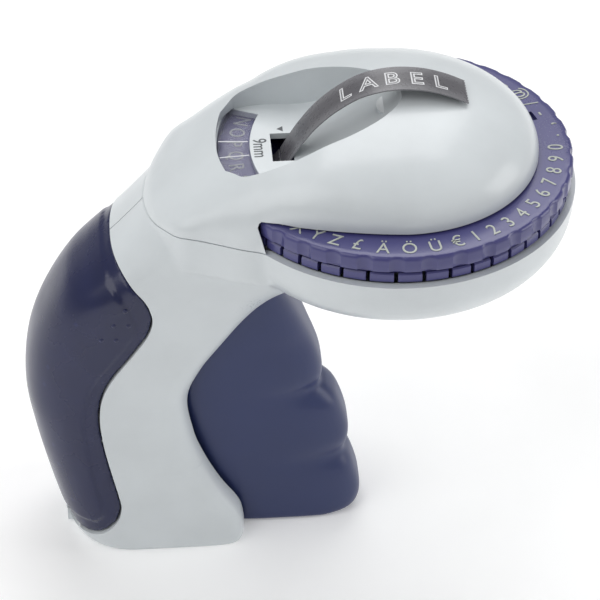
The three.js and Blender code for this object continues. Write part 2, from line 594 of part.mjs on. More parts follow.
const reelAxle = () => solid(barAcross(REEL_CENTRE, 3, -11.7, 11.7, 24))
  .add(solid(barAcross(REEL_CENTRE, 1.5, -PIN_REACH, PIN_REACH)));

// The tape's whole way from the reel, up the neck, between the discs and out over the dome.
function tapeRun() {
  const route = [
    [6.3, 45], [6.6, 58], [7.9, 76], [9.05, 88.6], [9.6, 94], [10.7, 98], [12.7, 100.4],
    [15.4, DISC_PARTING], [25.6, DISC_PARTING], [28.4, 102.1], [30.1, 104.4], [31.6, 107.1],
    [34.2, 111.4], [37.6, 115.9], [42.1, 120.1], [47.8, 123.6], [54.5, 125.2], [61.4, 124.8],
    [67.1, 123.1], [72, 120.7],
  ].map(([x, z]) => new THREE.Vector2(x, z));
  const curve = new THREE.SplineCurve(route);
  const left = [];
  const right = [];
  const steps = 44;
  for (let i = 0; i <= steps; i += 1) {
    const point = curve.getPointAt(i / steps);
    const tangent = curve.getTangentAt(i / steps).multiplyScalar(TAPE_THICKNESS / 2);
    left.push([point.x - tangent.y, point.y + tangent.x]);
    right.push([point.x + tangent.y, point.y - tangent.x]);
  }
  return solid(sideways([...right, ...left.reverse()], -TAPE_WIDTH / 2, TAPE_WIDTH / 2));
}

// Knife that parts the finished label from the tape, in a small block inside the dome.
const KNIFE_Z = [103.4, 104.2];
const CUT_Z = (KNIFE_Z[0] + KNIFE_Z[1]) / 2;
const tapeStrip = () => tapeRun().intersect(solid(box(-60, 120, -20, 20, 0, CUT_Z - GAP / 2)));
const labelStrip = () => tapeRun().intersect(solid(box(-60, 120, -20, 20, CUT_Z + GAP / 2, 140)));
const cutterBlade = () => solid(sideways([[33.6, KNIFE_Z[0]], [41.4, KNIFE_Z[0]], [41.4, KNIFE_Z[1]],
  [34.8, KNIFE_Z[1]]], -6, 6));

function cutterHousing() {
  return solid(box(36, 46.4, -8, 8, 102.2, 105.6))
    .subtract(solid(box(30, 45.4, -6.3, 6.3, KNIFE_Z[0] - GAP, KNIFE_Z[1] + GAP)))
    .subtract(solid(box(41.7, 45.4, -2.4, 2.4, 102.5, 105.3)));
}

const cutterSpring = () => coilSpring([42, 0, 103.85], [1, 0, 0], 2.9, 0.85, 4, 0.2);

function caseScrew(place, i) {
  const seat = SCREW_SEATS[i] + 0.1;
  return solid(barAcross(place, SCREW_HEAD_RADIUS, seat, seat + SCREW_HEAD_HEIGHT))
    .add(solid(barAcross(place, SCREW_RADIUS, SCREW_TIP, seat + 1)));
}

// ---------------------------------------------------------------- assembly
const root = new THREE.Group();
root.position.x = -ORIGIN_X;
function put(name, body, material) {
  const mesh = new THREE.Mesh(geometryOf(body), material);
  mesh.name = name;
  root.add(mesh);
}

put('right_shell', rightShell(), housingPlastic());
put('left_shell', leftShell(), housingPlastic());
put('top_cover', topCover(), housingPlastic());
put('window_lens', windowLens(), lensPlastic());
put('rear_door', rearDoor(), doorPlastic());
put('door_pin', doorPin(), steel());
put('trigger', trigger(), triggerPlastic());
put('trigger_pin', triggerPin(), steel());
put('trigger_spring', triggerSpring(), steel());
put('spring_seat', springSeat(), innerPlastic());
put('press_lever', pressLever(), steel());
put('lever_pin', crossPin(LEVER_PIVOT), steel());
put('hammer', hammer(), steel());
put('hammer_guide', hammerGuide(), innerPlastic());
put('upper_wheel_disc', upperWheelDisc(), wheelPlastic());
put('lower_wheel_disc', lowerWheelDisc(), wheelPlastic());
put('wheel_axle', wheelAxle(), steel());
put('axle_screw', axleScrew(), steel());
put('index_spring', indexSpring(), steel());
put('feed_roller', feedRoller(), innerPlastic());
put('feed_roller_pin', crossPin(FEED_CENTRE), steel());
put('pressure_roller', pressureRoller(), innerPlastic());
put('pressure_roller_pin', crossPin(PRESSURE_CENTRE), steel());
put('tape_reel', tapeReel(), innerPlastic());
put('tape_coil', tapeCoil(), tapeVinyl());
put('reel_axle', reelAxle(), steel());
put('tape_strip', tapeStrip(), tapeVinyl());
put('label_strip', labelStrip(), tapeVinyl());
put('cutter_blade', cutterBlade(), steel());
put('cutter_housing', cutterHousing(), innerPlastic());
put('cutter_spring', cutterSpring(), steel());
SCREW_PLACES.forEach((place, i) => put(`case_screw_${i + 1}`, caseScrew(place, i), steel()));

export default root;
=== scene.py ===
import json
import math

import bmesh
import bpy
from mathutils import Euler, Matrix, Vector


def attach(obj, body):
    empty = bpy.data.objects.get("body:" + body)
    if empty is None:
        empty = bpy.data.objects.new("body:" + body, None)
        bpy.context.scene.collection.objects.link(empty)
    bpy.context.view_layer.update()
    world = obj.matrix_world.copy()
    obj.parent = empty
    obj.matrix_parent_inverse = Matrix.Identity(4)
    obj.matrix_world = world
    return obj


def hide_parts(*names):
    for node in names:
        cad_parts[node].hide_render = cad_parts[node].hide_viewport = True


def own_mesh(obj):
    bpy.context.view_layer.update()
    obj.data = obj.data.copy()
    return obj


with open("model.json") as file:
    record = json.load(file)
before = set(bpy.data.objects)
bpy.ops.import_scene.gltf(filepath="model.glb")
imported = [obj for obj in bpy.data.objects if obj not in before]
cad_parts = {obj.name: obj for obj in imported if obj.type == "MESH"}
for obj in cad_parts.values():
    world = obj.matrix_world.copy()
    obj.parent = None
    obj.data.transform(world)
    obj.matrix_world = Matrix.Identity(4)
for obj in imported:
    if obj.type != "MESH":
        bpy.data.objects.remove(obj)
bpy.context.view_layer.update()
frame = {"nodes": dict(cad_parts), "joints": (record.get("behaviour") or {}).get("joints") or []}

# ------------------------ places taken from the frame
JOINTS = {joint["name"]: joint for joint in frame["joints"]}
WHEEL_AXIS = Vector(JOINTS["wheel_spin"]["pos_m"]) * 1000
WHEEL_X = 56
FOOT_X = WHEEL_AXIS.x - WHEEL_X
WHEEL_TOP = WHEEL_AXIS.z


def joint_place(name):
    """A joint's place as x, z in foot millimetres."""
    point = Vector(JOINTS[name]["pos_m"]) * 1000
    return point.x - FOOT_X, point.z


TRIGGER_PIVOT = joint_place("trigger_squeeze")
DOOR_HINGE = joint_place("door_swing")
REEL_CENTRE = joint_place("reel_turn")
FEED_CENTRE = joint_place("feed_roll")
PRESSURE_CENTRE = joint_place("pressure_roll")
LEVER_PIVOT = joint_place("press_lever_swing")

# ------------------------ driving dimensions
WALL = 2.0
GAP = 0.3
WHEEL_RADIUS = 41.0
DISC_PARTING = 101.15
RING_BORE = 30.2
BOWL_RADIUS = 42.0
BOWL_BOTTOM = 82.0
BOWL_CORNER = 12.6
SEAM_Z = 98.0
DOME_RADIUS = 33.0
DOME_BASE = 106.5
DOME_RISE = 15.2
WHEEL_ROOM = 41.6
COVER_BOSS, COVER_SCREW_HOLE = 4.6, 1.5
COVER_MOUTH = [(22.7, 104.4), (23.2, 105.7), (24.6, 105.98)]      # x, z behind the wheel's opening
RECESS_FLOOR = 107.5
LENS_INNER = 33.4
LENS_OUTER = 41.0
LENS_HALF_ANGLE = math.radians(23.5)
LENS_FIT = 0.15          # gap between the window and its opening, and the window's bevel
WINDOW_LINE_ANGLE = math.radians(4.45)
WINDOW_LINE_HALF_WIDTH, WINDOW_LINE_MARGIN = 0.14, 0.4
SLOT_FRONT = 32.5
SLOT_REAR = 27.5
SLOT_HALF_WIDTH = 5.4
TRIGGER_HALF_WIDTH = 9.8
TRIGGER_SLOT_HALF_WIDTH = 10.6
TRIGGER_WALL, TRIGGER_BOSS, TRIGGER_PIN_HOLE = 2.4, 3.6, 1.9
TAPE_WIDTH = 9.0
TAPE_THICKNESS = 0.3
AXLE_RADIUS = 5.0
HUB_STAND = 8
HUB_BORES = [            # radius, bottom, top: for the axle, its screw and the screw's head
    (AXLE_RADIUS + 0.1, 84, 120), (2.4, 70, 120), (4.2, 70, 83.6),
]
PIN_REACH = 15.0
TRIGGER_PIN_REACH = 12.8
DOOR_HEEL = 2.3
EAR_INNER, EAR_OUTER, EAR_RADIUS = 4.4, 6.4, 1.3
SCREWS = {(-6, 12): 12.5, (2.5, 69.5): 12.5, (91, 90): 10.5}     # place and depth of each seat
SCREW_SHANK, SCREW_HOLE, SCREW_SEAT, SCREW_POST = 1.4, 1.7, 3, 3.2
SCREW_HEAD = [(2.7, 0), (2.7, 0.9), (2.45, 1.35), (1.7, 1.58), (0.3, 1.6)]   # radius, height
PIN_HOLE, PIN_POST = 1.8, 3
PIN_SEATS = [            # place, start of the boss, half-length of the hole
    (TRIGGER_PIVOT, 11, TRIGGER_PIN_REACH), (REEL_CENTRE, 12, PIN_REACH),
    (FEED_CENTRE, 11, PIN_REACH), (PRESSURE_CENTRE, 11, PIN_REACH), (LEVER_PIVOT, 11, PIN_REACH),
]
DOOR_PIN_HOLE = 0.95
DOOR_STEP = 0.45         # the door lies this much lower than the panel raised on it
DOOR_GRID = 0.45         # size of the grid the door is blended on
HANDLE_REAR_ROUNDING = 15.0
REAR_SQUARENESS, FRONT_SQUARENESS, FOOT_SQUARENESS = 2.4, 4.5, 6
FOOT_SQUARE_BELOW = 30.0
FLARE_START = (5.0, 71.0)
FLARE_SLOPE = 0.414
COVER_SKIRT = 88.0
SKIN_GRID = 0.8          # size of the grid the outer skin is blended on
CRISP_FOOT = 24.0        # the foot keeps its sharp lower edges up to this height
SOFTEN = 6               # smoothing passes that round the blend
FINE_BELOW = 4           # the handle's sections are closer together below this height
FAR, AHEAD, BELOW, ABOVE = 60, 120, -5, 130      # reach of cutting blocks: sideways, ahead, down, up

# Handle, section by section: height, rear, front, half-width.
HANDLE = [
    (0, -21.3, 18.8, 17.6), (1.2, -22.8, 19.2, 18.1), (4, -24.2, 19.3, 18.3),
    (9, -25.7, 18.2, 18.1), (16, -27.4, 14, 17.8), (24, -29.1, 10.4, 17.5),
    (32, -30.6, 8.2, 17.2), (43, -32.1, 7, 17), (52, -31.6, 10.8, 17),
    (60, -29.8, 16.4, 17.2), (68, -26.3, 22.3, 17.7), (75.5, -21.5, 29.6, 18.3),
    (80.5, -16.5, 36, 18.8), (85.5, -10.9, 40, 19.2), (90, -6.6, 42, 19.5),
    (94.7, -2.4, 42, 19.7), (98, 0.4, 42, 19.7),
]

# Neck and dome, station by station along x: half-width, top, squareness, spring line.
COVER = [
    (-2.2, 2, 95.2, 2, 94), (-0.6, 10, 97.5, 2.2, 95), (2, 15.4, 100, 2.5, 96.5),
    (5.1, 19.6, 102.6, 2.8, 98), (10, 21.6, 106, 3.2, 98), (14.9, 23.7, 109.2, 3.4, 98),
    (20.6, 26.1, 112.4, 3.4, 98), (24, 26.6, 113.9, 3.3, 100), (27, 26.8, 114.9, 3.2, 105),
    (32, 28.7, 116.6, 3, 106.5), (37.5, 30.1, 118.9, 2.7, 106.5), (43.1, 31.3, 120.3, 2.4, 106.5),
    (49.9, 32.4, 121.3, 2.2, 106.5), (56, 33, 121.7, 2, 106.5),
]

# Front and rear of the trigger from its foot to its top: x, z pairs.
TRIGGER_FRONT = [
    (44, 0.4), (47, 1.1), (48.6, 3.5), (48.7, 7), (47.6, 11.5), (46.3, 15.2), (44.7, 17.8),
    (45.5, 21), (45.8, 25), (44.7, 30), (42.7, 35), (40.4, 37.8), (38.6, 39.6), (39.3, 43),
    (39, 46.5), (37.9, 50.5), (35.2, 58), (32.4, 65), (29.6, 71), (27.6, 74), (25.4, 77),
]
TRIGGER_REAR = [(16, 0.4), (14, 8), (8.5, 20), (5, 32), (3.4, 43), (5.5, 52), (9.5, 60),
                (15, 68), (16.4, 77)]

# Height and depth of the valleys between the finger bulges, and how far they spread.
FINGER_VALLEYS = [(18.2, 0.2), (39, 0.2), (54, 0.07)]
VALLEY_SPREAD = 3.4

# The opening for the trigger: x, z pairs.
TRIGGER_OPENING = [(4, -5), (60, -5), (60, 72), (30.6, 72), (28, 78), (13, 78), (6, 68), (-4, 50),
                   (-2, 12), (4, 6)]

# Half-outlines of the recess in the dome, and its ramp: x, y and x, z pairs.
RECESS_SIDE = [(18.5, 14), (20.3, 16), (24, 17), (28, 17.2), (32, 16.9), (36, 16.2), (40, 15.1),
               (44, 13.8), (48, 11.9), (52, 9.2), (55.4, 5.6), (57, 2.4)]
RECESS_RAMP = [(SLOT_FRONT, 107.5), (37, 108.4), (42, 110.6), (47, 113.6), (52, 117.2),
               (56, 120.4), (60, 126)]

# Forward edge of the tape door, and of the raised panel on it: x, z pairs going up.
DOOR_EDGE = [
    (-20.6, 4.4), (-17.6, 5.2), (-14.5, 7.2), (-12, 10.4), (-11, 14), (-11.5, 18), (-12.9, 25),
    (-14.2, 32), (-15, 39), (-15, 44), (-14.2, 48.5), (-12.4, 52.8), (-9.6, 57.2), (-6, 62.4),
    (-2.7, 68), (-1.7, 73), (-3.2, 78.2), (-6, 82), (-8.6, 84.6), (-11.4, 86.2),
]
PANEL_EDGE = [
    (-20, 9.4), (-17.4, 9.6), (-15.6, 11.6), (-15.8, 15), (-17.4, 24), (-18.4, 34), (-18.9, 42),
    (-17.9, 48.6), (-15.2, 54.2), (-11.4, 59.6), (-7.4, 65.6), (-6.1, 70), (-6.3, 73.4), (-8.6, 78.2),
    (-11.6, 82.4), (-13.6, 87),
]

# The tape's way from the reel, up the neck and out over the dome: x, z pairs.
TAPE_ROUTE = [
    (6.3, 45), (6.6, 58), (7.9, 76), (9.05, 88.6), (9.6, 94), (10.7, 98), (12.7, 100.4),
    (15.4, DISC_PARTING), (25.6, DISC_PARTING), (28.4, 102.1), (30.1, 104.4), (31.6, 107.1),
    (34.2, 111.4), (37.6, 115.9), (42.1, 120.1), (47.8, 123.6), (54.5, 125.2), (61.4, 124.8),
    (67.1, 123.1), (72, 120.7),
]


# ------------------------ curves and sections
def powered(value, exponent):
    return math.copysign(abs(value) ** exponent, value)


def through(table, column, at, key=0):
    """Smooth value of a column of a table at a place along it (cubic Hermite)."""
    last = len(table) - 1
    if at <= table[0][key]:
        return table[0][column]
    if at >= table[last][key]:
        return table[last][column]
    i = next(k for k in range(last) if table[k + 1][key] >= at)

    def slope(k):
        a, b = table[max(k - 1, 0)], table[min(k + 1, last)]
        return (b[column] - a[column]) / (b[key] - a[key])

    span = table[i + 1][key] - table[i][key]
    t = (at - table[i][key]) / span
    return ((2 * t ** 3 - 3 * t ** 2 + 1) * table[i][column]
            + (t ** 3 - 2 * t ** 2 + t) * span * slope(i)
            + (3 * t ** 2 - 2 * t ** 3) * table[i + 1][column]
            + (t ** 3 - t ** 2) * span * slope(i + 1))


def rounded(points, steps=6):
    """A smooth line through the points of an outline, with `steps` pieces between neighbours."""
    out = []
    last = len(points) - 1
    for i in range(last):
        p0, p1 = points[max(i - 1, 0)], points[i]
        p2, p3 = points[i + 1], points[min(i + 2, last)]
        for k in range(steps):
            t = k / steps
            out.append(tuple(0.5 * (2 * b + (c - a) * t + (2 * a - 5 * b + 4 * c - d) * t * t
                                    + (3 * b - a - 3 * c + d) * t ** 3)
                             for a, b, c, d in zip(p0, p1, p2, p3)))
    out.append(tuple(points[last]))
    return out


def steps_between(low, high, pitch):
    count = max(1, round((high - low) / pitch))
    return [low + (high - low) * i / count for i in range(count + 1)]


def circle(count):
    """Cosine and sine at even steps round a full turn."""
    return [(math.cos(i / count * math.tau), math.sin(i / count * math.tau)) for i in range(count)]


def arc(radius, start, end, steps):
    """Points in the plan on an arc about the wheel's axis."""
    return [(WHEEL_X + radius * math.cos(start + (end - start) * i / steps),
             radius * math.sin(start + (end - start) * i / steps)) for i in range(steps + 1)]


def level_ring(radius, height, sides):
    """A level circle about the wheel's axis."""
    return [(WHEEL_X + radius * c, radius * s, height) for c, s in circle(sides)]


def both_sides(inner, outer):
    """A stretch of y and its mirror image."""
    return (inner, outer), (-outer, -inner)


# ------------------------ mesh building
def in_scene(name, data):
    """A new object in the scene for a mesh, a curve, a lamp or a camera."""
    shown = bpy.data.objects.new(name, data)
    bpy.context.scene.collection.objects.link(shown)
    return shown


def new_piece(name, points, faces):
    mesh = bpy.data.meshes.new(name)
    mesh.from_pydata(points, [], faces)
    work = bmesh.new()
    work.from_mesh(mesh)
    bmesh.ops.remove_doubles(work, verts=work.verts, dist=1e-5)
    bmesh.ops.recalc_face_normals(work, faces=work.faces)
    work.to_mesh(mesh)
    work.free()
    return in_scene(name, mesh)


def quads(rows, count, closed):
    """Faces between neighbouring rings; `closed` also joins the last ring to the first."""
    faces = []
    for r in range(rows if closed else rows - 1):
        near, far = r * count, (r + 1) % rows * count
        for i in range(count):
            k = (i + 1) % count
            faces.append((near + i, near + k, far + k, far + i))
    return faces


def loft(name, rings):
    """A closed skin over rings of equal length, with flat ends."""
    count = len(rings[0])
    points = [point for ring in rings for point in ring]
    ends = [tuple(range(count))[::-1], tuple(range(len(points) - count, len(points)))]
    return new_piece(name, points, ends + quads(len(rings), count, False))


def hoop(name, rings):
    """A closed skin over rings of equal length, the last joined to the first."""
    points = [point for ring in rings for point in ring]
    return new_piece(name, points, quads(len(rings), len(rings[0]), True))


def bar(name, start, end, radius, sides=32):
    """A round bar between two points."""
    a, b = Vector(start), Vector(end)
    along = (b - a).normalized()
    across = along.orthogonal().normalized()
    other = along.cross(across)
    return loft(name, [[centre + radius * (across * c + other * s) for c, s in circle(sides)]
                       for centre in (a, b)])


def bar_across(name, spot, radius, y0, y1, sides=32):
    return bar(name, (spot[0], y0, spot[1]), (spot[0], y1, spot[1]), radius, sides)


def bar_upright(name, radius, z0, z1, sides=32):
    """A round bar on the wheel's axis."""
    return bar(name, (WHEEL_X, 0, z0), (WHEEL_X, 0, z1), radius, sides)


def block(name, x0, x1, y0, y1, z0, z1):
    return loft(name, [[(x0, y0, z), (x1, y0, z), (x1, y1, z), (x0, y1, z)] for z in (z0, z1)])


def sideways(name, outline, y0, y1):
    """A plate with an outline of x, z pairs."""
    return loft(name, [[(x, y, z) for x, z in outline] for y in (y0, y1)])


def upwards(name, outline, z0, z1):
    """A plate with an outline of x, y pairs."""
    return loft(name, [[(x, y, z) for x, y in outline] for z in (z0, z1)])


def settle(piece):
    """Applies the piece's modifiers to its mesh."""
    graph = bpy.context.evaluated_depsgraph_get()
    mesh = bpy.data.meshes.new_from_object(piece.evaluated_get(graph))
    piece.modifiers.clear()
    old = piece.data
    piece.data = mesh
    bpy.data.meshes.remove(old)
    return piece


def combine(piece, tool, operation, keep=False):
    step = piece.modifiers.new("join", "BOOLEAN")
    step.operation = operation
    step.solver = "MANIFOLD"
    step.object = tool
    settle(piece)
    if not keep:
        bpy.data.objects.remove(tool)
    return piece


def cut(piece, *tools):
    for tool in tools:
        combine(piece, tool, "DIFFERENCE")
    return piece


def add(piece, *tools):
    for tool in tools:
        combine(piece, tool, "UNION")
    return piece


def common(piece, tool, keep=False):
    return combine(piece, tool, "INTERSECT", keep)


def copy_of(piece):
    return in_scene(piece.name, piece.data.copy())


def blended(piece, grid=SKIN_GRID, passes=SOFTEN):
    """Rebuilds a closed skin on an even grid and rounds its edges a little."""
    remesh = piece.modifiers.new("grid", "REMESH")
    remesh.mode = "VOXEL"
    remesh.voxel_size = grid * 1
    soften = piece.modifiers.new("soften", "SMOOTH")
    soften.factor = 0.5
    soften.iterations = passes
    return settle(piece)


def largest_part(piece):
    """Drops loose scraps that a cut left behind."""
    work = bmesh.new()
    work.from_mesh(piece.data)
    work.verts.ensure_lookup_table()
    seen, groups = set(), []
    for vert in work.verts:
        if vert in seen:
            continue
        group, stack = [], [vert]
        seen.add(vert)
        while stack:
            at = stack.pop()
            group.append(at)
            for edge in at.link_edges:
                other = edge.other_vert(at)
                if other not in seen:
                    seen.add(other)
                    stack.append(other)
        groups.append(group)
    groups.sort(key=len)
    for group in groups[:-1]:
        bmesh.ops.delete(work, geom=group, context="VERTS")
    work.to_mesh(piece.data)
    work.free()
    return piece


def shade(piece, angle=32):
    """Smooth shading that keeps edges sharper than `angle` degrees."""
    for polygon in piece.data.polygons:
        polygon.use_smooth = True
    piece.data.set_sharp_from_angle(angle=math.radians(angle))
    return piece


def joined(name, pieces):
    """Several pieces as one mesh, each keeping its own closed skin."""
    work = bmesh.new()
    for piece in pieces:
        part = piece.data.copy()
        part.transform(piece.matrix_world)
        work.from_mesh(part)
        bpy.data.meshes.remove(part)
        bpy.data.objects.remove(piece)
    mesh = bpy.data.meshes.new(name)
    work.to_mesh(mesh)
    work.free()
    return in_scene(name, mesh)


def place(piece, name, body, material, replaces=(), angle=32):
    """Moves a finished piece from foot millimetres into the frame and hands it to its body."""
    piece.name = name
    piece.data.name = name
    piece.data.transform(Matrix.Translation((FOOT_X / 1000, 0, 0)) @ Matrix.Scale(0.001, 4))
    shade(piece, angle)
    piece.data.materials.clear()
    piece.data.materials.append(material)
    if replaces:
        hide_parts(*replaces)
    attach(piece, body)
    return piece


# ------------------------ outer form
def handle_ring(z, inset, count):
    """One handle section: round at the rear, square-shouldered at the front."""
    height = max(z, HANDLE[0][0])
    rear = through(HANDLE, 1, height) + inset
    front = through(HANDLE, 2, height) - inset
    half = through(HANDLE, 3, height) - inset
    middle = rear + min(HANDLE_REAR_ROUNDING, (front - rear) / 2) - inset / 2
    spread = min(max((z - FLARE_START[1]) / (SEAM_Z - FLARE_START[1]), 0), 1)
    corner = FRONT_SQUARENESS + FOOT_SQUARENESS * max(0.0, 1 - z / FOOT_SQUARE_BELOW)
    ring = []
    for c, s in circle(count):
        exponent = 2 / (corner if c > 0 else REAR_SQUARENESS)
        x = middle + (front - middle if c > 0 else middle - rear) * powered(c, exponent)
        flare = spread ** 1.2 * FLARE_SLOPE * max(0, x - FLARE_START[0])
        ring.append((x, (half + flare) * powered(s, exponent), z))
    return ring


def handle_form(inset, bottom, pitch=1.6, count=88):
    foot = [bottom] + steps_between(max(bottom, 0.3), FINE_BELOW, 0.5)[1:]
    heights = foot + steps_between(FINE_BELOW, SEAM_Z, pitch)[1:]
    return loft("handle", [handle_ring(z, inset, count) for z in heights])


def bowl_form(inset, top):
    corner = BOWL_CORNER - inset
    centre = (BOWL_RADIUS - 0.4 - BOWL_CORNER, BOWL_BOTTOM + BOWL_CORNER)
    profile = [(0.01, BOWL_BOTTOM + inset)]
    for i in range(13):
        angle = -math.pi / 2 + i / 12 * math.pi / 2
        profile.append((centre[0] + corner * math.cos(angle), centre[1] + corner * math.sin(angle)))
    profile += [(BOWL_RADIUS - inset, top), (0.01, top)]
    return loft("bowl", [level_ring(radius, height, 128) for radius, height in profile])


def cover_section(x, half, top, squareness, spring, steps=48):
    ring = []
    for i in range(steps + 1):
        angle = i / steps * math.pi
        y = half * powered(math.cos(angle), 2 / squareness)
        z = spring + (top - spring) * powered(math.sin(angle), 2 / squareness)
        ring.append((x, y, z))
    return ring + [(x, -half, COVER_SKIRT), (x, half, COVER_SKIRT)]


def cover_form(inset):
    """Neck and dome together. The front half of the dome is a flattened half-ball."""
    stations = [-2.2, -1.6, -1.0, -0.4, 0.4] + steps_between(1.4, WHEEL_X, 1.3)
    rings = []
    for x in stations:
        half, top, squareness, spring = (through(COVER, column, x) for column in (1, 2, 3, 4))
        rings.append(cover_section(x + (inset if half < 16 else 0), max(half - inset, 0.5),
                                   top - inset, squareness, spring))
    reach = DOME_RADIUS - inset
    for i in range(1, 25):
        angle = i / 24 * math.radians(89.5)
        rings.append(cover_section(WHEEL_X + reach * math.sin(angle), reach * math.cos(angle),
                                   DOME_BASE + (DOME_RISE - inset) * math.cos(angle), 2, DOME_BASE))
    return loft("cover", rings)


def below_seam(offset):
    """Everything below the parting line, which dips at the back of the neck."""
    dip = rounded([(7, SEAM_Z), (4.6, 97.6), (2.5, 97), (0, 95.9), (-3, 94.6)], 4)
    line = [(AHEAD, SEAM_Z + offset)] + [(x, z + offset) for x, z in dip] + [(-FAR, 94.6 + offset)]
    return sideways("below", [(-FAR, BELOW), (AHEAD, BELOW)] + line, -FAR, FAR)


def door_region(name, grow, edge=DOOR_EDGE, bottom=4.2):
    """Everything behind the forward edge of the door, or of its panel."""
    forward = [(x + grow, z - grow if z < 12 else z + (grow if z > 76 else 0))
               for x, z in rounded(edge, 5)]
    outline = [(-FAR, bottom - grow), (edge[0][0] - 3.4, bottom - grow)] + forward + [(-FAR, 100)]
    return sideways(name, outline, -FAR, FAR)


def foot_block(top):
    return block("foot", -60, 60, -40, 40, BELOW, top)


def outer_skin():
    """The blended form of both shells and the cover, on a crisp foot."""
    skin = handle_form(0, 0)
    add(skin, bowl_form(0, SEAM_Z + 2), cover_form(0))
    blended(skin)
    cut(skin, foot_block(CRISP_FOOT))
    return add(skin, common(handle_form(0, 0, 1.2, 176), foot_block(CRISP_FOOT + 0.01)))


def inner_room():
    room = handle_form(WALL, WALL, 2.5, 48)
    add(room, bowl_form(WALL, SEAM_Z + 2), cover_form(WALL))
    return room


# ------------------------ housing shells
def shell_hull(skin, room):
    """Both shells before they are parted: walls, bosses, holes and the door's hinge ears."""
    hull = cut(copy_of(skin), copy_of(room))
    common(hull, below_seam(-GAP / 2))
    cut(hull, bar_upright("top", FAR, SEAM_Z - GAP / 2, ABOVE, 96))
    inside = common(copy_of(skin), below_seam(-2))
    posts = [(spot, SCREW_POST, -FAR, FAR) for spot in SCREWS]
    for spot, start, _ in PIN_SEATS:
        posts += [(spot, PIN_POST, y0, y1) for y0, y1 in both_sides(start, FAR)]
    for post in posts:
        add(hull, common(bar_across("post", *post), inside, keep=True))
    bpy.data.objects.remove(inside)
    add(hull, bar_upright("stand", HUB_STAND, BOWL_BOTTOM + 0.4, 88))
    cut(hull, sideways("slot", TRIGGER_OPENING, -TRIGGER_SLOT_HALF_WIDTH, TRIGGER_SLOT_HALF_WIDTH),
        door_region("door_opening", GAP))
    for spot, seat in SCREWS.items():
        cut(hull, bar_across("hole", spot, SCREW_HOLE, -8.3, FAR),
            bar_across("seat", spot, SCREW_SEAT, seat, FAR))
    for spot, _, reach in PIN_SEATS:
        cut(hull, bar_across("hole", spot, PIN_HOLE, -reach - GAP, reach + GAP))
    for bore in HUB_BORES:
        cut(hull, bar_upright("hub", *bore))
    cut(hull, bar_across("heel", DOOR_HINGE, DOOR_HEEL, -30, 30, 48))
    hinge_x, hinge_z = DOOR_HINGE
    for y0, y1 in both_sides(EAR_INNER, EAR_OUTER):
        add(hull, bar_across("ear", DOOR_HINGE, EAR_RADIUS, y0, y1),
            block("foot", hinge_x - 1.1, hinge_x + 1.2, y0, y1, 1, hinge_z))
    return cut(hull, bar_across("hole", DOOR_HINGE, DOOR_PIN_HOLE, -EAR_OUTER - 1, EAR_OUTER + 1))


def make_shells(skin, room, material):
    hull = shell_hull(skin, room)
    right_half = add(block("half", -FAR, AHEAD, -FAR, -GAP / 2, BELOW, ABOVE),
                     block("tongue", -12, 3.4, -1, 3, BELOW, WALL))
    left_half = cut(block("half", -FAR, AHEAD, GAP / 2, FAR, BELOW, ABOVE),
                    block("tongue", -12.3, 3.7, -1, 3.3, BELOW, WALL + GAP))
    right = largest_part(common(copy_of(hull), right_half))
    left = largest_part(common(hull, left_half))
    place(right, "right_shell_skin", "housing", material, ["right_shell"])
    place(left, "left_shell_skin", "housing", material, ["left_shell"])


# ------------------------ top cover
def recess_plan(grow):
    rear_radius = LENS_OUTER + 0.2 + grow
    rear = []
    for i in range(25):
        angle = math.radians(196 - i * 32 / 24)
        rear.append((WHEEL_X + rear_radius * math.cos(angle), -rear_radius * math.sin(angle)))
    side = rounded(RECESS_SIDE, 5)
    near = [(x + (grow if x > 50 else 0), -y - grow) for x, y in side]
    far = [(x + (grow if x > 50 else 0), y + grow) for x, y in reversed(side)]
    return near + far + [point for point in rear if abs(point[1]) < 13]


def recess_space(grow, drop):
    ramp = [(x + (drop if x > 59 else 0), z - (0 if x > 59 else drop))
            for x, z in rounded(RECESS_RAMP, 5)]
    above = [(8, 140), (8, RECESS_FLOOR - drop)] + ramp + [(60 + drop, 140)]
    return common(upwards("plan", recess_plan(grow), 100, 140), sideways("above", above, -40, 40))


def lens_plan(margin):
    angle = LENS_HALF_ANGLE - margin / LENS_OUTER
    return (arc(LENS_OUTER - margin, math.pi - angle, math.pi + angle, 24)
            + arc(LENS_INNER + margin, math.pi + angle, math.pi - angle, 24))


def make_cover(skin, room, material):
    lowest = DOME_BASE - 0.5
    cut(room, recess_space(1.8, RECESS_FLOOR - lowest))
    cover = cut(copy_of(skin), room)
    cut(cover, recess_space(0, 0), below_seam(GAP / 2))
    cut(cover, bar_upright("wheel_room", WHEEL_ROOM, SEAM_Z - 0.1, lowest, 160))
    mouth = rounded(COVER_MOUTH, 5) + [(25.2, lowest)]
    outline = [(AHEAD, 80), (AHEAD, lowest)] + mouth[::-1] + [(24.7, 97), (24.7, 80)]
    cut(cover, common(sideways("front", outline, -FAR, FAR),
                      bar_upright("round", FAR, 80, lowest, 96)))
    add(cover, bar_upright("boss", COVER_BOSS, 104.4, 118))
    cut(cover, bar_upright("hole", COVER_SCREW_HOLE, 100, 114),
        upwards("window", lens_plan(0), 100, 108),
        block("tape_slot", SLOT_REAR, SLOT_FRONT, -SLOT_HALF_WIDTH, SLOT_HALF_WIDTH, 100, 109))
    place(largest_part(cover), "top_cover_skin", "housing", material, ["top_cover"])


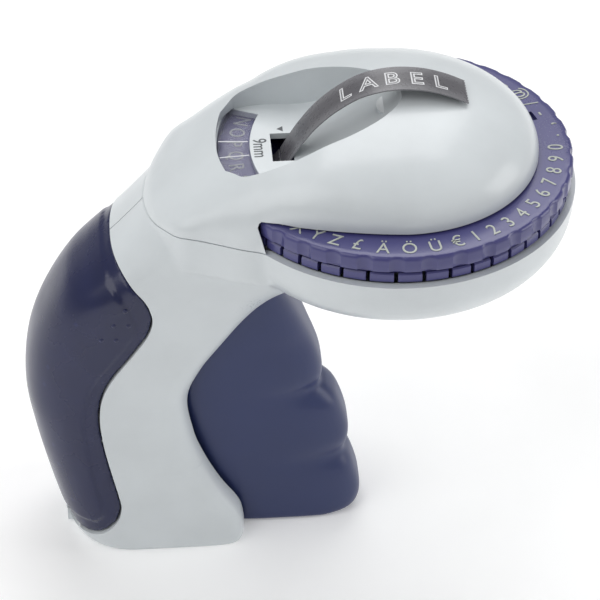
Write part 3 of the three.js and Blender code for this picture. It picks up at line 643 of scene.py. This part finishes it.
def make_lens(material, line_material):
    lens = upwards("lens", lens_plan(LENS_FIT), DOME_BASE - 0.4, RECESS_FLOOR)
    bevel = lens.modifiers.new("edge", "BEVEL")
    bevel.width = LENS_FIT
    bevel.segments = 2
    place(settle(lens), "window_lens_clear", "housing", material, ["window_lens"])
    lines = []
    for side in (-1, 1):
        angle = math.pi + side * WINDOW_LINE_ANGLE
        across = WINDOW_LINE_HALF_WIDTH / LENS_INNER
        outline = (arc(LENS_OUTER - WINDOW_LINE_MARGIN, angle - across, angle + across, 2)
                   + arc(LENS_INNER + WINDOW_LINE_MARGIN, angle + across, angle - across, 2))
        lines.append(upwards("line", outline, RECESS_FLOOR - 0.02, RECESS_FLOOR + 0.04))
    place(joined("lines", lines), "window_lines", "housing", line_material)


# ------------------------ lettering
def glyph(text, size, height, bold=0.0):
    """A word as a closed mesh lying in the plan, centred, and `height` thick."""
    curve = bpy.data.curves.new("glyph", "FONT")
    curve.body = text
    curve.size = size
    curve.align_x = "CENTER"
    curve.align_y = "CENTER"
    curve.extrude = height / 2
    curve.offset = bold
    curve.resolution_u = 4
    source = in_scene("glyph", curve)
    graph = bpy.context.evaluated_depsgraph_get()
    mesh = bpy.data.meshes.new_from_object(source.evaluated_get(graph))
    bpy.data.objects.remove(source)
    bpy.data.curves.remove(curve)
    work = bmesh.new()
    work.from_mesh(mesh)
    bmesh.ops.remove_doubles(work, verts=work.verts, dist=1e-4)
    work.to_mesh(mesh)
    work.free()
    return in_scene("glyph", mesh)


def middled(piece):
    """Centres a glyph on its own outline."""
    xs = [vert.co.x for vert in piece.data.vertices]
    ys = [vert.co.y for vert in piece.data.vertices]
    centre = Vector(((min(xs) + max(xs)) / 2, (min(ys) + max(ys)) / 2, 0))
    piece.data.transform(Matrix.Translation(-centre))
    return piece


PITCH = math.radians(7.05)               # angle from sign to sign
WIDE = (math.tau - 46 * PITCH) / 4       # and at the four wider places
LETTER_RADIUS = 36.9
LETTER_SIZE = 5.2


def wheel_letters():
    """Every sign on the wheel with its angle, anticlockwise seen from above; Q is at the window."""
    signs = {chr(ord("A") + k): math.pi + (k - 16) * PITCH for k in range(26)}
    angle = math.pi + 9 * PITCH + (PITCH / 2 + WIDE / 2)
    for sign in "£ÄÖÜ":
        signs[sign] = angle
        angle += WIDE
    angle += PITCH / 2 - WIDE / 2
    for sign in "€1234567890.,-/@_":
        signs[sign] = angle
        angle += PITCH
    return signs


def make_wheel_letters(material):
    pieces = []
    for sign, angle in wheel_letters().items():
        piece = glyph("-" if sign == "_" else sign, LETTER_SIZE, 0.16, -0.005)
        if sign not in ".,":
            middled(piece)
        piece.data.transform(Matrix.Scale(0.86, 4, (1, 0, 0)))
        spin = Matrix.Rotation(angle + math.pi / 2, 4, "Z")
        spot = Vector((WHEEL_X + LETTER_RADIUS * math.cos(angle),
                       LETTER_RADIUS * math.sin(angle), WHEEL_TOP + 0.06))
        piece.data.transform(Matrix.Translation(spot) @ spin)
        pieces.append(piece)
    place(joined("letters", pieces), "wheel_letters", "letter_wheel", material)


# ------------------------ letter wheel
SCALLOPS = 36


def upper_disc_radius(angle, depth):
    """The rim dips at every scallop."""
    phase = (angle / math.tau * SCALLOPS) % 1
    away = abs(phase - 0.5) * 2
    dip = max(0.0, 1 - (away / 0.42) ** 2) ** 0.5 if away < 0.42 else 0.0
    return WHEEL_RADIUS - depth * dip


def make_upper_disc(material):
    low = DISC_PARTING + 0.35
    # Rows of the rim: step in from the wheel's radius, height, depth of the scallops.
    rim = [(-0.5, low, 0.0), (-0.12, low + 0.12, 0.55), (0, low + 0.4, 0.6), (0, low + 1.6, 0.6),
           (0, low + 2.9, 0.6), (-0.04, WHEEL_TOP - 0.75, 0.5), (-0.2, WHEEL_TOP - 0.4, 0.4),
           (-0.5, WHEEL_TOP - 0.12, 0.3), (-0.9, WHEEL_TOP, 0.15), (-2.0, WHEEL_TOP, 0.0)]
    segments = SCALLOPS * 16
    rings = [level_ring(RING_BORE, low, segments)]
    for offset, z, depth in rim:
        ring = []
        for i in range(segments):
            angle = i / segments * math.tau
            radius = upper_disc_radius(angle, depth) + offset
            ring.append((WHEEL_X + radius * math.cos(angle), radius * math.sin(angle), z))
        rings.append(ring)
    rings.append(level_ring(RING_BORE, WHEEL_TOP, segments))
    disc = hoop("disc", rings)
    start, end = (math.pi + k * PITCH + 4 * (WIDE - PITCH) for k in (26.6, 27.4))
    pocket = arc(35.5, start, end, 4) + arc(31.5, end, start, 4)
    cut(disc, upwards("pocket", pocket, WHEEL_TOP - 1.2, WHEEL_TOP + 1))
    place(disc, "upper_wheel_ring", "letter_wheel", material, ["upper_wheel_disc"], 28)


def finger_edges():
    """Angles of the slots between the lettered fingers, half-way between neighbouring signs."""
    angles = sorted(wheel_letters().values())
    edges = []
    for i, angle in enumerate(angles):
        later = angles[(i + 1) % len(angles)] + (math.tau if i + 1 == len(angles) else 0)
        steps = max(1, round((later - angle) / PITCH / 1.15))
        for k in range(steps):
            edges.append(angle + (later - angle) * (k + 0.5) / steps)
    return edges


def make_lower_disc(material):
    top, low = DISC_PARTING - 0.35, 98.2
    bore, rim, hub_top = AXLE_RADIUS + GAP, WHEEL_RADIUS - 0.6, 103
    profile = [(bore, 95.4), (9, 95.4), (9, low + 0.6), (30, low + 0.6), (30, low),
               (WHEEL_RADIUS - 1.0, low), (rim, low + 0.4), (rim, top - 0.35),
               (WHEEL_RADIUS - 0.95, top), (9, top), (9, hub_top), (bore, hub_top)]
    disc = hoop("disc", [[(WHEEL_X + radius * c, radius * s, z) for radius, z in profile]
                         for c, s in circle(360)])
    slots = []
    for angle in finger_edges():
        slot = block("slot", WHEEL_RADIUS - 6.6, WHEEL_RADIUS + 2, -0.48, 0.48, low - 1, top + 1)
        slot.data.transform(Matrix.Translation((WHEEL_X, 0, 0)) @ Matrix.Rotation(angle, 4, "Z"))
        slots.append(slot)
    cut(disc, joined("slots", slots))
    place(disc, "lower_wheel_fingers", "letter_wheel", material, ["lower_wheel_disc"], 28)


# ------------------------ tape door
DOT_PLACES = [(-7.6, 76), (-10.4, 71.6), (-7, 71.4), (-13.4, 67.2), (-10, 67)]
DOT_PROFILE = [(0.62, -0.3), (0.6, 0.0), (0.48, 0.16), (0.28, 0.24), (0.05, 0.27)]


def make_door(material):
    body = handle_form(0, 0, 1.2, 120)
    room = handle_form(WALL - 0.1, 1, 2, 64)
    lowered = handle_form(DOOR_STEP, 0.2, 1.2, 120)
    panel = common(common(body, door_region("panel", 0, PANEL_EDGE, 9.2)),
                   door_region("door_limit", -0.4))
    door = common(lowered, door_region("door", 0))
    add(door, panel)
    cut(door, room)
    door = largest_part(door)
    blended(door, DOOR_GRID)
    add(door, common(block("tab", -9, -5.2, -3, 3, 82.2, 84.2), handle_form(0.6, 1, 2, 64)))
    inner, outer = EAR_INNER - GAP, EAR_OUTER + GAP
    for y0, y1 in both_sides(inner, outer):
        cut(door, block("notch", -28, -20, y0, y1, 3, DOOR_HINGE[1] + EAR_RADIUS + 0.4))
    add(door, bar_across("knuckle", DOOR_HINGE, EAR_RADIUS, -inner, inner))
    cut(door, bar_across("hole", DOOR_HINGE, DOOR_PIN_HOLE, -EAR_OUTER, EAR_OUTER))
    place(largest_part(door), "tape_door_panel", "tape_door", material, ["rear_door"], 36)
    dots = []
    for side in (-1, 1):
        dots += [dome_dot((x, side * door_half_width(x, z), z), side) for x, z in DOT_PLACES]
    place(joined("dots", dots), "door_grip_dots", "tape_door", material)


def door_half_width(x, z):
    """Half-width of the handle's skin at x, z, found on its own section."""
    near_side = [(px, y) for px, y, _ in handle_ring(z, 0, 1440) if y > 0]
    return min(near_side, key=lambda point: abs(point[0] - x))[1]


def dome_dot(spot, side):
    """A small raised dot on the door's side."""
    return loft("dot", [[(spot[0] + radius * c, spot[1] + side * height, spot[2] + radius * s)
                         for c, s in circle(14)] for radius, height in DOT_PROFILE])


# ------------------------ trigger
def trigger_ring(z, inset, count=72):
    front = through(TRIGGER_FRONT, 0, z, 1) - inset * 1.2
    rear = through(TRIGGER_REAR, 0, z, 1)
    half = TRIGGER_HALF_WIDTH - inset
    back = rear - 12 if inset else rear
    middle = (front + back) / 2
    pinch = sum(depth * math.exp(-((z - valley) / VALLEY_SPREAD) ** 2)
                for valley, depth in FINGER_VALLEYS)
    ring = []
    for i in range(count):
        angle = (i + 0.5) / count * math.tau
        c, s = math.cos(angle), math.sin(angle)
        x = middle + (front - middle) * powered(c, 0.62 if c > 0 else 0.3)
        narrowed = half * (1 - pinch * max(0.0, c) ** 0.7) if inset == 0 else half
        ring.append((x, narrowed * powered(s, 0.5), z))
    return ring


def trigger_form(inset, bottom, top, pitch):
    heights = [bottom] + steps_between(bottom + 0.35, 6, 0.5) + steps_between(6, top, pitch)[1:]
    return loft("trigger", [trigger_ring(z, inset) for z in heights])


def make_trigger(material):
    body = trigger_form(0, TRIGGER_FRONT[0][1], 74, 1.0)
    blended(body, 0.7, 4)
    cut(body, trigger_form(TRIGGER_WALL, 2.6, 71, 2.0))
    hollow = [(-30, 70.9), (-30, 2.7), (19, 2.7), (16, 12), (11, 24), (8.5, 38), (10, 52), (17, 64),
              (22, 70.9)]
    cut(body, sideways("hollow", hollow, -7.4, 7.4))
    add(body, bar_across("boss", TRIGGER_PIVOT, TRIGGER_BOSS, -TRIGGER_HALF_WIDTH, TRIGGER_HALF_WIDTH))
    cut(body, bar_across("hole", TRIGGER_PIVOT, TRIGGER_PIN_HOLE, -20, 20))
    place(largest_part(body), "trigger_grip", "trigger", material, ["trigger"])


SPRING_START = Vector((2.4, 0, 22))
SPRING_LENGTH = 38.6
SPRING_TURNS = 8
SPRING_RADIUS, SPRING_WIRE = 2.6, 0.45


def make_trigger_spring(material):
    """The trigger's return spring as a fixed coil; the real spring shortens towards its seat as the
    trigger is squeezed.
    """
    steps = SPRING_TURNS * 24
    forward = Vector((1, 0, 0))
    rings = []
    for i in range(steps + 1):
        turn = i / steps * SPRING_TURNS * math.tau
        y, z = SPRING_RADIUS * math.cos(turn), SPRING_RADIUS * math.sin(turn)
        middle = SPRING_START + Vector((SPRING_LENGTH * i / steps, y, z))
        out = Vector((0, math.cos(turn), math.sin(turn)))
        rings.append([tuple(middle + SPRING_WIRE * (out * c + forward * s)) for c, s in circle(8)])
    spring = place(loft("spring", rings), "trigger_spring_coil", "housing", material,
                   ["trigger_spring"], 60)
    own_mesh(spring)


# ------------------------ tape
CUT_Z = 103.8            # height at which the knife parts the label from the tape


def tape_line():
    """The tape's middle line with its direction, from reel to the end of the label."""
    points = rounded(TAPE_ROUTE, 10)
    out = []
    for i, (x, z) in enumerate(points):
        a, b = points[max(i - 1, 0)], points[min(i + 1, len(points) - 1)]
        along = Vector((b[0] - a[0], 0, b[1] - a[1])).normalized()
        out.append((Vector((x, 0, z)), along))
    return out


def ribbon(name, line):
    rings = []
    half = TAPE_WIDTH / 2
    corners = [(-half, -1), (-half, 1), (-half / 3, 1), (half / 3, 1), (half, 1), (half, -1),
               (half / 3, -1), (-half / 3, -1)]
    for spot, along in line:
        normal = Vector((-along.z, 0, along.x))
        ring = []
        for y, side in corners:
            point = spot + normal * side * TAPE_THICKNESS / 2
            ring.append((point.x, y, point.z))
        rings.append(ring)
    return loft(name, rings)


def bent_onto_tape(piece, line, start, lift):
    """Lays a flat glyph along the label: its x runs along the tape and its y across."""
    lengths = [0.0]
    for (a, _), (b, _) in zip(line, line[1:]):
        lengths.append(lengths[-1] + (b - a).length)
    for vert in piece.data.vertices:
        at = start + vert.co.x
        i = max(next((k for k, length in enumerate(lengths) if length > at), len(lengths) - 1), 1)
        t = (at - lengths[i - 1]) / (lengths[i] - lengths[i - 1])
        spot = line[i - 1][0].lerp(line[i][0], t)
        along = line[i - 1][1].lerp(line[i][1], t).normalized()
        normal = Vector((-along.z, 0, along.x))
        vert.co = spot + normal * (TAPE_THICKNESS / 2 + lift + vert.co.z) + Vector((0, vert.co.y, 0))
    return piece


LABEL_WORD = "LABEL"
LABEL_LETTER_SIZE = 6.4
LABEL_LETTER_PITCH = 5.6
LABEL_TEETH = 9
LABEL_END_MARGIN = 6.6
OUTLINE_BOLD, CORE_BOLD = 0.16, -0.13
LETTER_RISE = 0.12       # room for the raised letters above the ribbon


def label_letter(letter, bold, outer, start, lift):
    flat = middled(glyph(letter, LABEL_LETTER_SIZE, 0.07, bold))
    return bent_onto_tape(flat, outer, start, lift)


def make_tape(material, letter_material):
    line = tape_line()
    inner = [entry for entry in line if entry[0].z < CUT_Z - GAP / 2]
    outer = [(spot - Vector((0, 0, LETTER_RISE)), along) for spot, along in line
             if spot.z > CUT_Z + GAP / 2]
    place(ribbon("tape", inner), "tape_in_neck", "housing", material, ["tape_strip"])
    label = ribbon("label", outer)
    end, along = outer[-1]
    teeth = []
    for k in range(LABEL_TEETH):
        y = -TAPE_WIDTH / 2 + (k + 0.5) * TAPE_WIDTH / LABEL_TEETH
        tooth = bar_across("tooth", (0, 0), 0.5, -1, 1, 3)
        tooth.data.transform(Matrix.Rotation(math.pi / 2, 4, "X"))
        tooth.data.transform(Matrix.Translation((end.x + along.x * 0.15, y, end.z + along.z * 0.15)))
        teeth.append(tooth)
    cut(label, joined("teeth", teeth))
    place(label, "label_ribbon", "housing", material, ["label_strip"])
    total = sum((b[0] - a[0]).length for a, b in zip(outer, outer[1:]))
    first = total - LABEL_END_MARGIN - LABEL_LETTER_PITCH * (len(LABEL_WORD) - 1)
    pieces, cores = [], []
    for k, letter in enumerate(LABEL_WORD):
        start = first + LABEL_LETTER_PITCH * k
        pieces.append(label_letter(letter, OUTLINE_BOLD, outer, start, 0.035))
        cores.append(label_letter(letter, CORE_BOLD, outer, start, 0.06))
    place(joined("word", pieces), "label_letters", "housing", letter_material)
    place(joined("cores", cores), "label_letter_cores", "housing", material)


# ------------------------ screws and small marks
def make_screws(material):
    for index, ((x, z), depth) in enumerate(SCREWS.items()):
        seat = depth + 0.1
        screw = loft("screw", [[(x + radius * c, seat + height, z + radius * s) for c, s in circle(32)]
                               for radius, height in SCREW_HEAD])
        add(screw, bar_across("shank", (x, z), SCREW_SHANK, -8, seat + 1))
        for turn in (0, math.pi / 2):
            blade = block("blade", -1.5, 1.5, seat + 0.7, seat + 3, -0.3, 0.3)
            blade.data.transform(Matrix.Translation((x, 0, z))
                                 @ Matrix.Rotation(turn + 0.4 * index, 4, "Y"))
            cut(screw, blade)
        place(screw, f"case_screw_{index + 1}_cross", "housing", material,
              [f"case_screw_{index + 1}"])


def make_marks(material):
    """Tape width and pointer on the floor of the recess."""
    size = middled(glyph("9mm", 4.5, 0.05, 0.01))
    size.data.transform(Matrix.Scale(0.8, 4, (1, 0, 0)))
    size.data.transform(Matrix.Translation((WHEEL_X - 31, 0, RECESS_FLOOR + 0.03))
                        @ Matrix.Rotation(-math.pi / 2, 4, "Z"))
    pointer = upwards("pointer", [(29.2, 7.1), (30.6, 6.1), (30.6, 8.1)],
                      RECESS_FLOOR, RECESS_FLOOR + 0.05)
    place(joined("marks", [size, pointer]), "recess_marks", "housing", material)


# ------------------------ materials
class Value:
    """A shader socket that takes part in Python expressions."""

    def __init__(self, kit, socket):
        self.kit, self.socket = kit, socket

    def _math(self, operation, other):
        return self.kit.node("ShaderNodeMath", "Value", {0: self, 1: other}, operation=operation)

    def __add__(self, other):
        return self._math("ADD", other)

    def __mul__(self, other):
        return self._math("MULTIPLY", other)

    def __sub__(self, other):
        return self._math("SUBTRACT", other)


class Finish:
    """One material and the shader nodes that make it."""

    def __init__(self, name):
        self.material = bpy.data.materials.new(name)
        self.material.use_nodes = True
        self.tree = self.material.node_tree
        self.shader = self.tree.nodes["Principled BSDF"]

    def node(self, kind, output, sockets=None, **settings):
        """Adds a node, feeds its sockets and gives back one of its outputs."""
        made = self.tree.nodes.new(kind)
        for key, value in settings.items():
            setattr(made, key, value)
        for key, value in (sockets or {}).items():
            self.feed(made.inputs[key], value)
        return Value(self, made.outputs[output])

    def feed(self, socket, value):
        if isinstance(value, Value):
            self.tree.links.new(value.socket, socket)
        elif socket.type == "RGBA":
            socket.default_value = (*value, 1)
        else:
            socket.default_value = value

    def set(self, **sockets):
        for key, value in sockets.items():
            self.feed(self.shader.inputs[key.replace("_", " ")], value)

    def noise(self, scale, detail=3.0, roughness=0.55, distortion=0.0):
        return self.node("ShaderNodeTexNoise", "Fac", {
            "Vector": self.node("ShaderNodeTexCoord", "Object"), "Scale": scale, "Detail": detail,
            "Roughness": roughness, "Distortion": distortion})

    def band(self, value, low, high, to_low=0.0, to_high=1.0):
        """Spreads the values between low and high over a new range."""
        return self.node("ShaderNodeMapRange", "Result", {
            "Value": value, "From Min": low, "From Max": high, "To Min": to_low,
            "To Max": to_high}, clamp=True)

    def mix(self, factor, a, b):
        return self.node("ShaderNodeMix", 2, {0: factor, 6: a, 7: b}, data_type="RGBA")

    def bump(self, height, strength, distance):
        return self.node("ShaderNodeBump", "Normal", {
            "Height": height, "Strength": strength, "Distance": distance})

    def edges(self):
        """Brightness of thin edges, from the shape itself: rubbed wear, and on the moulded and
        polished plastics also a painted highlight along the edges.
        """
        return self.band(self.node("ShaderNodeNewGeometry", "Pointiness"), 0.52, 0.6)


def tinted(colour, amount):
    return tuple(min(1, max(0, c * amount)) for c in colour)


def moulded(name, colour, roughness, grain, coat=0.0, wear_and_edge_highlight=0.35):
    """Injection-moulded plastic: fine spark-eroded grain, slight mottling, and edges lightened as
    rubbed wear and as a painted highlight.
    """
    finish = Finish(name)
    mottle = finish.noise(55.0, 4.0)
    fine = finish.noise(1980.0, 2.0, 0.6)
    handled = finish.noise(18.0, 2.0, 0.5, 0.6)
    base = finish.mix(finish.band(mottle, 0.35, 0.65), tinted(colour, 0.965), tinted(colour, 1.03))
    # Lighter edges: partly rubbed wear, partly a painted highlight along the rims.
    base = finish.mix(finish.edges() * wear_and_edge_highlight, base, tinted(colour, 1.35))
    gloss = finish.band(handled, 0.3, 0.7, roughness - 0.05, roughness + 0.05) + (fine - 0.5) * 0.06
    finish.set(Base_Color=base, Roughness=gloss, Normal=finish.bump(fine, grain, 0.00006))
    finish.set(Coat_Weight=coat, Coat_Roughness=0.12, IOR=1.5)
    return finish.material


def polished(name, colour, roughness, coat):
    """Glossy moulding with faint flow lines, hairline scratches and a few rubbed patches."""
    finish = Finish(name)
    flow = finish.noise(30.0, 3.0, 0.5, 1.2)
    scratch = finish.noise(2600.0, 1.0)
    rubbed = finish.noise(70.0, 4.0)
    base = finish.mix(finish.band(flow, 0.3, 0.7), tinted(colour, 0.85), tinted(colour, 1.15))
    # Lighter edges: partly rubbed wear, partly a painted highlight along the door's edges.
    base = finish.mix(finish.edges() * 0.4, base, tinted(colour, 2.0))
    gloss = finish.band(rubbed, 0.4, 0.75, roughness, roughness + 0.09)
    finish.set(Base_Color=base, Roughness=gloss, Normal=finish.bump(scratch, 0.02, 0.00004))
    finish.set(Coat_Weight=coat, Coat_Roughness=0.22, IOR=1.46)
    return finish.material


def metal(name):
    """Drawn or turned steel with fine tool marks and slight staining."""
    finish = Finish(name)
    colour = (0.6, 0.61, 0.63)
    marks = finish.noise(1800.0, 3.0, 0.7)
    stain = finish.noise(120.0, 4.0)
    base = finish.mix(finish.band(stain, 0.35, 0.7), colour, tinted(colour, 0.72))
    base = finish.mix(finish.edges() * 0.5, base, tinted(colour, 1.3))
    finish.set(Base_Color=base, Metallic=1.0, Roughness=finish.band(marks, 0.3, 0.7, 0.22, 0.42),
               Normal=finish.bump(marks, 0.12, 0.00004))
    return finish.material


def painted_marks(name, colour, roughness=0.5):
    """Hot-stamped or printed marks, a little uneven."""
    finish = Finish(name)
    uneven = finish.noise(420.0, 4.0)
    base = finish.mix(finish.band(uneven, 0.35, 0.7), tinted(colour, 0.86), colour)
    gloss = finish.band(uneven, 0.3, 0.7, roughness - 0.08, roughness + 0.1)
    finish.set(Base_Color=base, Roughness=gloss)
    return finish.material


def clear_lens(name):
    """Violet-tinted clear plastic with faint haze."""
    finish = Finish(name)
    haze = finish.noise(90.0, 3.0)
    base = finish.mix(finish.band(haze, 0.3, 0.7), (0.3, 0.3, 0.42), (0.36, 0.36, 0.48))
    finish.set(Base_Color=base, Roughness=finish.band(haze, 0.3, 0.7, 0.1, 0.2))
    finish.set(Alpha=0.22, Coat_Weight=0.4, Coat_Roughness=0.08, IOR=1.49)
    return finish.material


def vinyl(name):
    """Embossing tape: dark grey vinyl with rolled lines along it and pale stress marks."""
    finish = Finish(name)
    streak = finish.noise(700.0, 2.0)
    cloud = finish.noise(60.0, 3.0)
    base = finish.mix(finish.band(cloud, 0.3, 0.7), (0.092, 0.09, 0.1), (0.125, 0.122, 0.135))
    base = finish.mix(finish.edges() * 0.5, base, (0.3, 0.3, 0.32))
    finish.set(Base_Color=base, Roughness=finish.band(streak, 0.3, 0.7, 0.22, 0.38),
               Normal=finish.bump(streak, 0.06, 0.00005), Coat_Weight=0.25, Coat_Roughness=0.15)
    return finish.material


INNER_PLASTIC_NODES = ["spring_seat", "hammer_guide", "feed_roller", "pressure_roller",
                       "tape_reel", "cutter_housing"]
STEEL_NODES = ["door_pin", "trigger_pin", "press_lever", "lever_pin", "hammer", "wheel_axle",
               "axle_screw", "index_spring", "feed_roller_pin", "pressure_roller_pin",
               "reel_axle", "cutter_blade", "cutter_spring"]


def dress(names, material):
    """A better finish on inner pieces whose shapes stay as they are."""
    for name in names:
        materials = frame["nodes"][name].data.materials
        materials.clear()
        materials.append(material)


# ------------------------ floor, light and camera
def make_floor():
    mesh = bpy.data.meshes.new("studio_floor")
    reach = 3.0
    mesh.from_pydata([(-reach, -reach, 0), (reach, -reach, 0), (reach, reach, 0), (-reach, reach, 0)],
                     [], [(0, 1, 2, 3)])
    floor = in_scene("studio_floor", mesh)
    finish = Finish("studio_paper")
    paper = finish.mix(finish.band(finish.noise(40.0), 0.3, 0.7), (0.9, 0.9, 0.9), (0.93, 0.93, 0.93))
    finish.set(Base_Color=paper, Roughness=0.9, Emission_Color=(1, 1, 1), Emission_Strength=0.17)
    floor.data.materials.append(finish.material)


# Soft lamps: name, place in metres, size and power.
LAMPS = [
    ("window_left", (-0.75, -0.35, 0.95), 1.1, 6.8), ("window_back", (0.1, 0.65, 1.1), 0.9, 8.4),
    ("fill_front", (0.6, -0.9, 0.5), 0.9, 0.8), ("window_right", (0.95, -0.05, 0.35), 0.5, 2.6),
]
LIT_POINT = (0, 0, 0.07)


def make_light():
    world = bpy.data.worlds.new("studio_air")
    world.use_nodes = True
    air = world.node_tree.nodes["Background"].inputs
    air["Color"].default_value = (1, 1, 1, 1)
    air["Strength"].default_value = 0.27
    bpy.context.scene.world = world
    for name, spot, size, power in LAMPS:
        data = bpy.data.lights.new(name, "AREA")
        data.shape = "SQUARE"
        data.size = size
        data.energy = power
        lamp = in_scene(name, data)
        lamp.location = spot
        towards = Vector(LIT_POINT) - Vector(spot)
        lamp.rotation_euler = towards.to_track_quat("-Z", "Y").to_euler()
    bpy.context.scene.view_settings.view_transform = "Standard"


CAMERA_FROM_WHEEL = Vector((-0.06365, -0.5554, 0.40584))
CAMERA_TILT, CAMERA_TURN = 51.12, -4.3


def make_camera():
    data = bpy.data.cameras.new("camera")
    data.lens = 180
    data.sensor_width = 36
    camera = in_scene("camera", data)
    camera.location = WHEEL_AXIS / 1000 + CAMERA_FROM_WHEEL
    camera.rotation_euler = Euler((math.radians(CAMERA_TILT), 0, math.radians(CAMERA_TURN)))
    data.clip_start = 0.01
    bpy.context.scene.camera = camera


# ------------------------ making everything
PALE_GREY = (0.665, 0.705, 0.725)
WHEEL_BLUE = (0.06, 0.058, 0.19)
TRIGGER_BLUE = (0.024, 0.036, 0.115)
DOOR_BLUE = (0.015, 0.019, 0.066)
INNER_WHITE = (0.7, 0.7, 0.67)


def make_all():
    housing = moulded("housing_plastic", PALE_GREY, 0.33, grain=0.05, coat=0.2, wear_and_edge_highlight=0.0)
    wheel = moulded("wheel_plastic", WHEEL_BLUE, 0.3, grain=0.04, coat=0.2, wear_and_edge_highlight=0.4)
    grip = moulded("trigger_plastic", TRIGGER_BLUE, 0.38, grain=0.06, wear_and_edge_highlight=0.25)
    door = polished("door_plastic", DOOR_BLUE, 0.25, coat=0.12)
    steel = metal("spring_steel")
    inner = moulded("inner_plastic", INNER_WHITE, 0.45, grain=0.05)
    tape = vinyl("tape_vinyl")
    print_light = painted_marks("raised_letter_paint", (0.5, 0.53, 0.48))
    print_dark = painted_marks("printed_mark_ink", (0.1, 0.11, 0.12))
    raised_white = painted_marks("stressed_vinyl", (0.85, 0.86, 0.88), 0.4)
    skin = outer_skin()
    room = inner_room()
    make_shells(skin, room, housing)
    make_cover(skin, room, housing)
    bpy.data.objects.remove(skin)
    make_lens(clear_lens("lens_plastic"), raised_white)
    make_upper_disc(wheel)
    make_lower_disc(wheel)
    make_wheel_letters(print_light)
    make_door(door)
    make_trigger(grip)
    make_trigger_spring(steel)
    make_tape(tape, raised_white)
    make_screws(steel)
    make_marks(print_dark)
    dress(INNER_PLASTIC_NODES, inner)
    dress(STEEL_NODES, steel)
    dress(["tape_coil"], tape)


make_all()
make_floor()
make_light()
make_camera()

bpy.context.view_layer.update()
